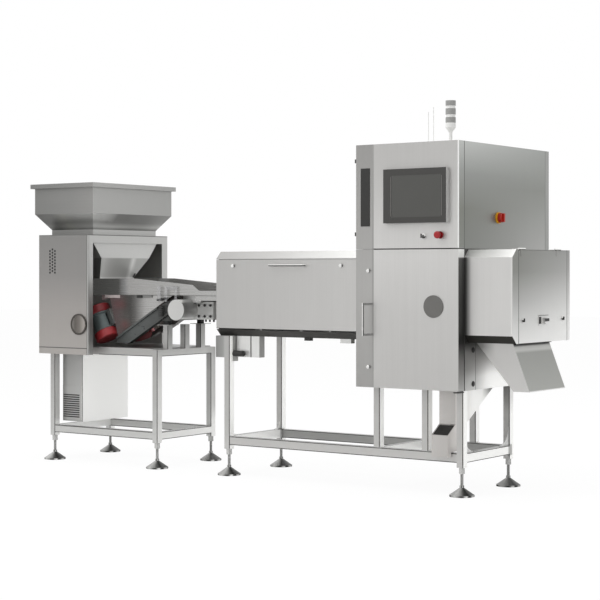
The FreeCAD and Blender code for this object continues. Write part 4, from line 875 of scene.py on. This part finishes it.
def latch_trim():
    """Black boxes as painted shade in the slots of the pull latch on the end flap, and the latch's
    bright lever.
    """
    boxes("latch_slot_shadow", (
        ((0.2826, 0.352, 0.897), (0.2870, 0.368, 0.933)),
        ((0.2829, 0.346, 0.9395), (0.2834, 0.456, 0.942)),
        ((0.2829, 0.388, 0.9095), (0.2990, 0.436, 0.9245)),
    ), BLACK, "end_flap", "dark_steel")
    boxes("latch_lever", (((0.2829, 0.400, 0.894), (0.2985, 0.424, 0.909)),),
          RING_WHITE, "end_flap", "polished", 0.0008)


def chute_trim():
    """Dark joint between the outfeed hood's flap and the chute, and a white strip along the
    chute's lower edge as a painted highlight.
    """
    boxes("chute_joint", (((0.250, 0.118, 0.7965), (0.2790, 0.500, 0.7999)),),
          BLACK, "machine", "dark_steel")
    low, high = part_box("outfeed_chute")
    lip = Shape()
    lip.box((high.x - 0.0065, low.y + 0.0005, low.z + 0.0003),
            (high.x - 0.0001, high.y - 0.0005, low.z + 0.0045))
    lip.piece("chute_lip_highlight", RING_WHITE, "machine", "brushed")


def post_line(shape, x, y, low, high):
    """Dark line of painted shade at the right edge of a post's front, where front and side meet.
    """
    edge = x + TUBE_HALF
    front = y - TUBE_HALF
    shape.box(at(edge - 0.006, front - LINE_PROUD, low), at(edge - 0.0002, front + 0.001, high))


def rail_line(shape, left, right, y, z):
    """Dark line of painted shade along the front of a lengthwise rail."""
    front = y - TUBE_HALF
    shape.box(at(left, front - LINE_PROUD, z), at(right, front + 0.001, z + 0.004))


def end_rail_line(shape, x, near, far, z):
    """Dark line of painted shade along the right side of a crosswise rail."""
    edge = x + TUBE_HALF
    shape.box(at(edge - 0.001, near, z), at(edge + LINE_PROUD, far, z + 0.0035))


# Painted shade along the corners and rails of the machine's stand.
def stand_lines():
    dark = Shape()
    for y in (0.080, 0.586):
        for x, low, high in ((-1.563, 0.151, 0.800), (-0.025, 0.151, 0.550),
                             (-0.539, 0.226, 0.549), (-0.236, 0.226, 0.549)):
            post_line(dark, x, y, low, high)
        for z in (0.1752, 0.2196):
            rail_line(dark, -1.543, -0.045, y, z)
    for z in (0.1752, 0.2196):
        end_rail_line(dark, -0.025, 0.101, 0.565, z)
    dark.piece("stand_corner_shade_lines", LINE_DARK, "machine", "dark_steel")


# Painted shade along the corners and rails of the feeder's stand.
def feeder_lines():
    dark = Shape()
    for y in (0.0725, 0.5818):
        post_line(dark, -2.9385, y, 0.151, 0.662)
        post_line(dark, -2.101, y, 0.151, 0.702)
        for left, z in ((-2.918, 0.1702), (-2.918, 0.2110), (-2.55, 0.6645)):
            rail_line(dark, left, -2.122, y, z)
    for z in (0.1702, 0.2110, 0.6645):
        end_rail_line(dark, -2.101, 0.093, 0.561, z)
    for y in (0.170, 0.330, 0.480):
        post_line(dark, -2.101, y, 0.706, 0.848)
    dark.piece("feeder_corner_shade_lines", LINE_DARK, "machine", "dark_steel")


def gussets():
    """Curved corner plates where the right end rail meets its legs."""
    left = -0.016
    thick = 0.004
    edge = 0.006
    steps = 8
    plates = Shape()
    for foot, way, reach in ((0.1005, 1, 0.070), (0.5655, -1, 0.100)):
        corners = [at(left, foot, END_RAIL_TOP), at(left, foot + way * reach, END_RAIL_TOP)]
        for step in range(steps + 1):
            angle = math.radians(90 * step / steps)
            corners.append(at(left, foot + way * reach * (1 - math.sin(angle)),
                              END_RAIL_TOP + edge + (reach - edge) * (1 - math.cos(angle))))
        corners.append(at(left, foot, END_RAIL_TOP + reach))
        plates.prism(corners, (thick, 0, 0))
    plates.piece("corner_gussets", RING_WHITE, "machine", "brushed")


def duct_mouth():
    """Black sheet as painted shade inside the reject spout's slanted opening."""
    dark = Shape()
    dark.prism((at(-0.1695, 0.024, 0.316), at(-0.0785, 0.024, 0.316),
                at(-0.0785, 0.098, 0.364), at(-0.1695, 0.098, 0.364)), (0, 0.001, -0.0015))
    dark.piece("duct_mouth_shadow", BLACK, "machine", "black")


# Small pieces of the feeder

MOTOR_LEAN = math.radians(27)
MOTOR_FOOT = (-2.5582, 0.7574)
MOTOR_NEAR = 0.150
MOTOR_FAR = 0.480
ISOLATOR_ROWS = (0.170, 0.480)


def leaning(x, y, z):
    """Turns a place counted from a motor's lower end into a real one."""
    turned = Matrix.Rotation(-MOTOR_LEAN, 3, "Y") @ Vector((x, 0, z))
    return at(MOTOR_FOOT[0], y, MOTOR_FOOT[1]) + turned


def leaning_block(shape, y, low, high):
    """Box drawn upright on a motor's axis and leant back with it."""
    corners = [leaning(x, y + low[1], z) for x, z in ((low[0], low[2]), (high[0], low[2]),
                                                      (high[0], high[2]), (low[0], high[2]))]
    shape.prism(corners, (0, high[1] - low[1], 0))


def vibration_motors():
    """Two leaning motors with a red cap at each end and a terminal box."""
    axis = Matrix.Rotation(-MOTOR_LEAN, 3, "Y") @ Vector((0, 0, 1))
    shells = Shape()
    caps = Shape()
    for y in (MOTOR_NEAR, MOTOR_FAR):
        foot = leaning(0, y, 0)
        shells.lathe(foot, axis, ((0.0, 0.052), (0.071, 0.052), (0.071, 0.060), (0.062, 0.064),
                                  (0.062, 0.150), (0.071, 0.154), (0.071, 0.163), (0.0, 0.163)))
        leaning_block(shells, y, (0.03, -0.020, 0.070), (0.074, 0.050, 0.146))
        for start, end in ((0.0, 0.052), (0.163, 0.213)):
            caps.lathe(foot, axis, ((0.0, start), (0.072, start), (0.077, start + 0.006),
                                    (0.077, end - 0.006), (0.072, end), (0.0, end)))
    shells = shells.piece("motor_shells", MOTOR_GREY, "tray", "motor_grey", 0.002)
    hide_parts("vibration_motors")
    caps = caps.piece("motor_end_caps", RED_PAINT, "tray", "red_paint", 0.002)
    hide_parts("motor_caps")


def drive_beams():
    """Sloping beams with folded lips, shoes on the isolators and the motors' feet.

    The far beam's low edge is raised, since the photo shows daylight below it.
    """
    rise = math.tan(math.radians(30))
    wide = 0.036
    fold = 0.012
    beams = Shape()
    for y, raised, motor in ((0.134, 0.0, MOTOR_NEAR), (0.460, 0.055, MOTOR_FAR)):
        foot = 0.733 + raised
        low_left = (-2.384, foot)
        low_right = (-1.990, foot + 0.394 * rise)
        high_left = (-2.486, 0.8264 - 0.102 * rise)
        high_right = (-2.155, high_left[1] + 0.331 * rise)
        web = (low_left, low_right, (-1.990, 1.027), high_right, high_left, (-2.486, foot))
        beams.prism([at(x, y + 0.010, z) for x, z in web], (0, 0.022, 0))
        for start, end, drop in ((high_left, high_right, -fold), (low_left, low_right, fold)):
            lip = (start, end, (end[0], end[1] + drop), (start[0], start[1] + drop))
            beams.prism([at(x, y, z) for x, z in lip], (0, wide, 0))
        leaning_block(beams, motor, (0.062, -0.020, 0.056), (0.100, 0.055, 0.158))
    for y in ISOLATOR_ROWS:
        beams.box(at(-2.126, y - 0.020, 0.874), at(-2.076, y + 0.020, 0.910))
    beams = beams.piece("sloping_beams", BEAM_STEEL, "tray", "dark_steel")
    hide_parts("drive_beams")


def tray_ribs():
    """Ribs under the near pan and the clamps beside them."""
    boxes("tray_ribs_pale", (((-2.572, 0.127, 1.008), (-2.449, 0.1335, 1.0262)),),
          PALE_RIB, "tray", "polished", 0.002)
    boxes("tray_ribs_grey", (((-2.263, 0.127, 1.012), (-2.192, 0.1335, 1.0262)),),
          LINE_GREY, "tray", "polished", 0.002)
    dark = Shape()
    dark.box(at(-2.311, 0.127, 1.010), at(-2.271, 0.1335, 1.0262))
    dark.prism((at(-2.066, 0.126, 0.987), at(-2.052, 0.126, 0.980), at(-1.985, 0.126, 1.012),
                at(-1.992, 0.126, 1.024)), (0, 0.008, 0))
    dark.piece("tray_clamps", BLACK, "tray", "black", 0.001)


def tray_trim():
    """Bolts and ribbed stack at the tray's drive, isolator shelves and clear guards."""
    bolts = [(at(-2.134, 0.124, 1.000), (0.028, 0, 0.004), 3, 0.008, 0.020, "y"),
             (at(-2.118, 0.124, 0.905), (0, 0, 0.0115), 6, 0.016, 0.006, "z")]
    bolts += [(at(-1.880, 0.1925, z), (0.044, 0, 0), 3, 0.0085, 0.003, "y")
              for z in (0.905, 0.970)]
    bolts.append((at(-1.870, 0.210, 0.880), (0.030, 0, 0), 4, 0.006, 0.016, "z"))
    rows("tray_bolts", bolts, BLACK, "tray")
    boxes("isolator_shelves", [((-2.148, y - 0.045, 0.8486), (-2.054, y + 0.045, 0.8516))
                               for y in ISOLATOR_ROWS], FEEDER_STAND, "machine", "brushed")
    spans = ((-2.138, -2.112, 0.990), (-2.080, -2.062, 0.990), (-2.062, -2.004, 1.062),
             (-2.004, -1.987, 0.990))
    boxes("tray_guards", [((left, 0.114, low), (right, 0.120, 1.082))
                          for left, right, low in spans], GUARD, "tray", "glass", 0.001)


def vent_rows():
    """Black discs as painted shade in the vent's holes, one in each; the middle column stands half
    a hole higher.
    """
    step = 0.019
    parts = [(at(x, -0.042, start), (0, 0, step), 8, 0.0068, 0.0012, "y")
             for x, start in ((-2.871, 1.163), (-2.850, 1.163 + step / 2), (-2.829, 1.163))]
    rows("vent_hole_shade", parts, BLACK, "machine")


def feeder_trim():
    """Louvre of the electrical box with dark rods as painted shade in its slots, wiring block and
    the mark at the chute's corner.
    """
    boxes("louvre_sheet", (((-2.896, 0.0978, 0.250), (-2.736, 0.0996, 0.462)),),
          LOUVRE_STEEL, "machine", "grey_box", 0.0004)
    slot_shade = [(at(-2.822, 0.0993, 0.268), (0, 0, 0.0135), 11, 0.0042, 0.134, "x")]
    rows("louvre_slot_shade", slot_shade, LINE_DARK, "machine")
    boxes("louvre_frame", (
        ((-2.893, 0.0990, 0.414), (-2.744, 0.1003, 0.4175)),
        ((-2.7475, 0.0990, 0.254), (-2.744, 0.1003, 0.4175)),
        ((-2.732, 0.0990, 0.241), (-2.7285, 0.1003, 0.660)),
    ), LINE_GREY, "machine", "dark_steel")
    boxes("cable_block", (((-2.462, 0.472, 0.812), (-2.436, 0.500, 0.868)),),
          CREAM, "tray", "grey_box", 0.003)
    corner = Shape()
    corner.prism((at(-2.603, 0.418, 1.136), at(-2.603, 0.436, 1.158), at(-2.603, 0.447, 1.158),
                  at(-2.603, 0.432, 1.130)), (0.004, 0, 0))
    corner.piece("chute_corner", BLACK, "machine", "black")


cabinet_side()
stop_mushroom()
screen_trim()
main_switch()
latch_trim()
chute_trim()
stand_lines()
feeder_lines()
gussets()
duct_mouth()
vibration_motors()
drive_beams()
tray_ribs()
tray_trim()
vent_rows()
feeder_trim()


# Camera, floor and light. The camera is the one fitted to the photo's edges.

CAMERA_PLACE = (4.1937, -7.2606, 1.1756)
CAMERA_TURN = math.radians(35.60)
CAMERA_LENS = 97.09
CAMERA_SENSOR = 36.0
CAMERA_SHIFT = -29.41 / 600
FLOOR_WHITE = 0.95
FLOOR_GLOW = 1.02
FLOOR_GLOW_SHARE = 0.92
SKY_GREY = 0.62
LAMP_AIM = (0.0, 0.0, 1.0)


def camera():
    view = bpy.data.cameras.new("photo_view")
    view.sensor_width = CAMERA_SENSOR
    view.lens = CAMERA_LENS
    view.shift_y = CAMERA_SHIFT
    made = bpy.data.objects.new("photo_view", view)
    made.location = at(*CAMERA_PLACE)
    made.rotation_euler = (math.pi / 2, 0.0, CAMERA_TURN)
    bpy.context.scene.collection.objects.link(made)
    bpy.context.scene.camera = made


def floor():
    """White floor that looks as bright as the studio and still takes soft shadows."""
    shape = bmesh.new()
    bmesh.ops.create_grid(shape, x_segments=1, y_segments=1, size=30.0)
    data = bpy.data.meshes.new("studio_floor")
    shape.to_mesh(data)
    shape.free()
    build = Nodes(bpy.data.materials.new("studio_floor"))
    matt = build.add("ShaderNodeBsdfDiffuse")
    build.put(matt.inputs["Color"], (FLOOR_WHITE,) * 3)
    glow = build.add("ShaderNodeEmission")
    build.put(glow.inputs["Strength"], FLOOR_GLOW)
    share = build.maths("MULTIPLY", build.rays("Is Camera Ray", "Is Transmission Ray"),
                        FLOOR_GLOW_SHARE)
    both = build.blend(share, matt.outputs["BSDF"], glow.outputs["Emission"])
    build.show("ShaderNodeOutputMaterial", both)
    data.materials.append(build.owner)
    made = bpy.data.objects.new("studio_floor", data)
    bpy.context.scene.collection.objects.link(made)


def world():
    """Grey light on matt surfaces, white where the sky is seen, mirrored or seen through."""
    sky = bpy.data.worlds.new("studio_white")
    bpy.context.scene.world = sky
    build = Nodes(sky)
    grey = build.add("ShaderNodeBackground")
    build.put(grey.inputs["Color"], (SKY_GREY,) * 3)
    white = build.add("ShaderNodeBackground")
    build.put(white.inputs["Color"], (1.0, 1.0, 1.0))
    share = build.rays("Is Camera Ray", "Is Glossy Ray", "Is Transmission Ray")
    both = build.blend(share, grey.outputs["Background"], white.outputs["Background"])
    build.show("ShaderNodeOutputWorld", both)


def lamp(name, place, size, power):
    data = bpy.data.lights.new(name, "AREA")
    data.shape = "DISK"
    data.size = size
    data.energy = power
    made = bpy.data.objects.new(name, data)
    made.location = place
    made.rotation_euler = (Vector(LAMP_AIM) - Vector(place)).to_track_quat("-Z", "Y").to_euler()
    bpy.context.scene.collection.objects.link(made)


camera()
floor()
world()
lamp("key_light", (-1.0, -4.5, 6.5), 4.0, 150.0)
lamp("top_light", (0.0, 0.5, 6.5), 5.0, 130.0)
bpy.context.scene.view_settings.view_transform = "Standard"
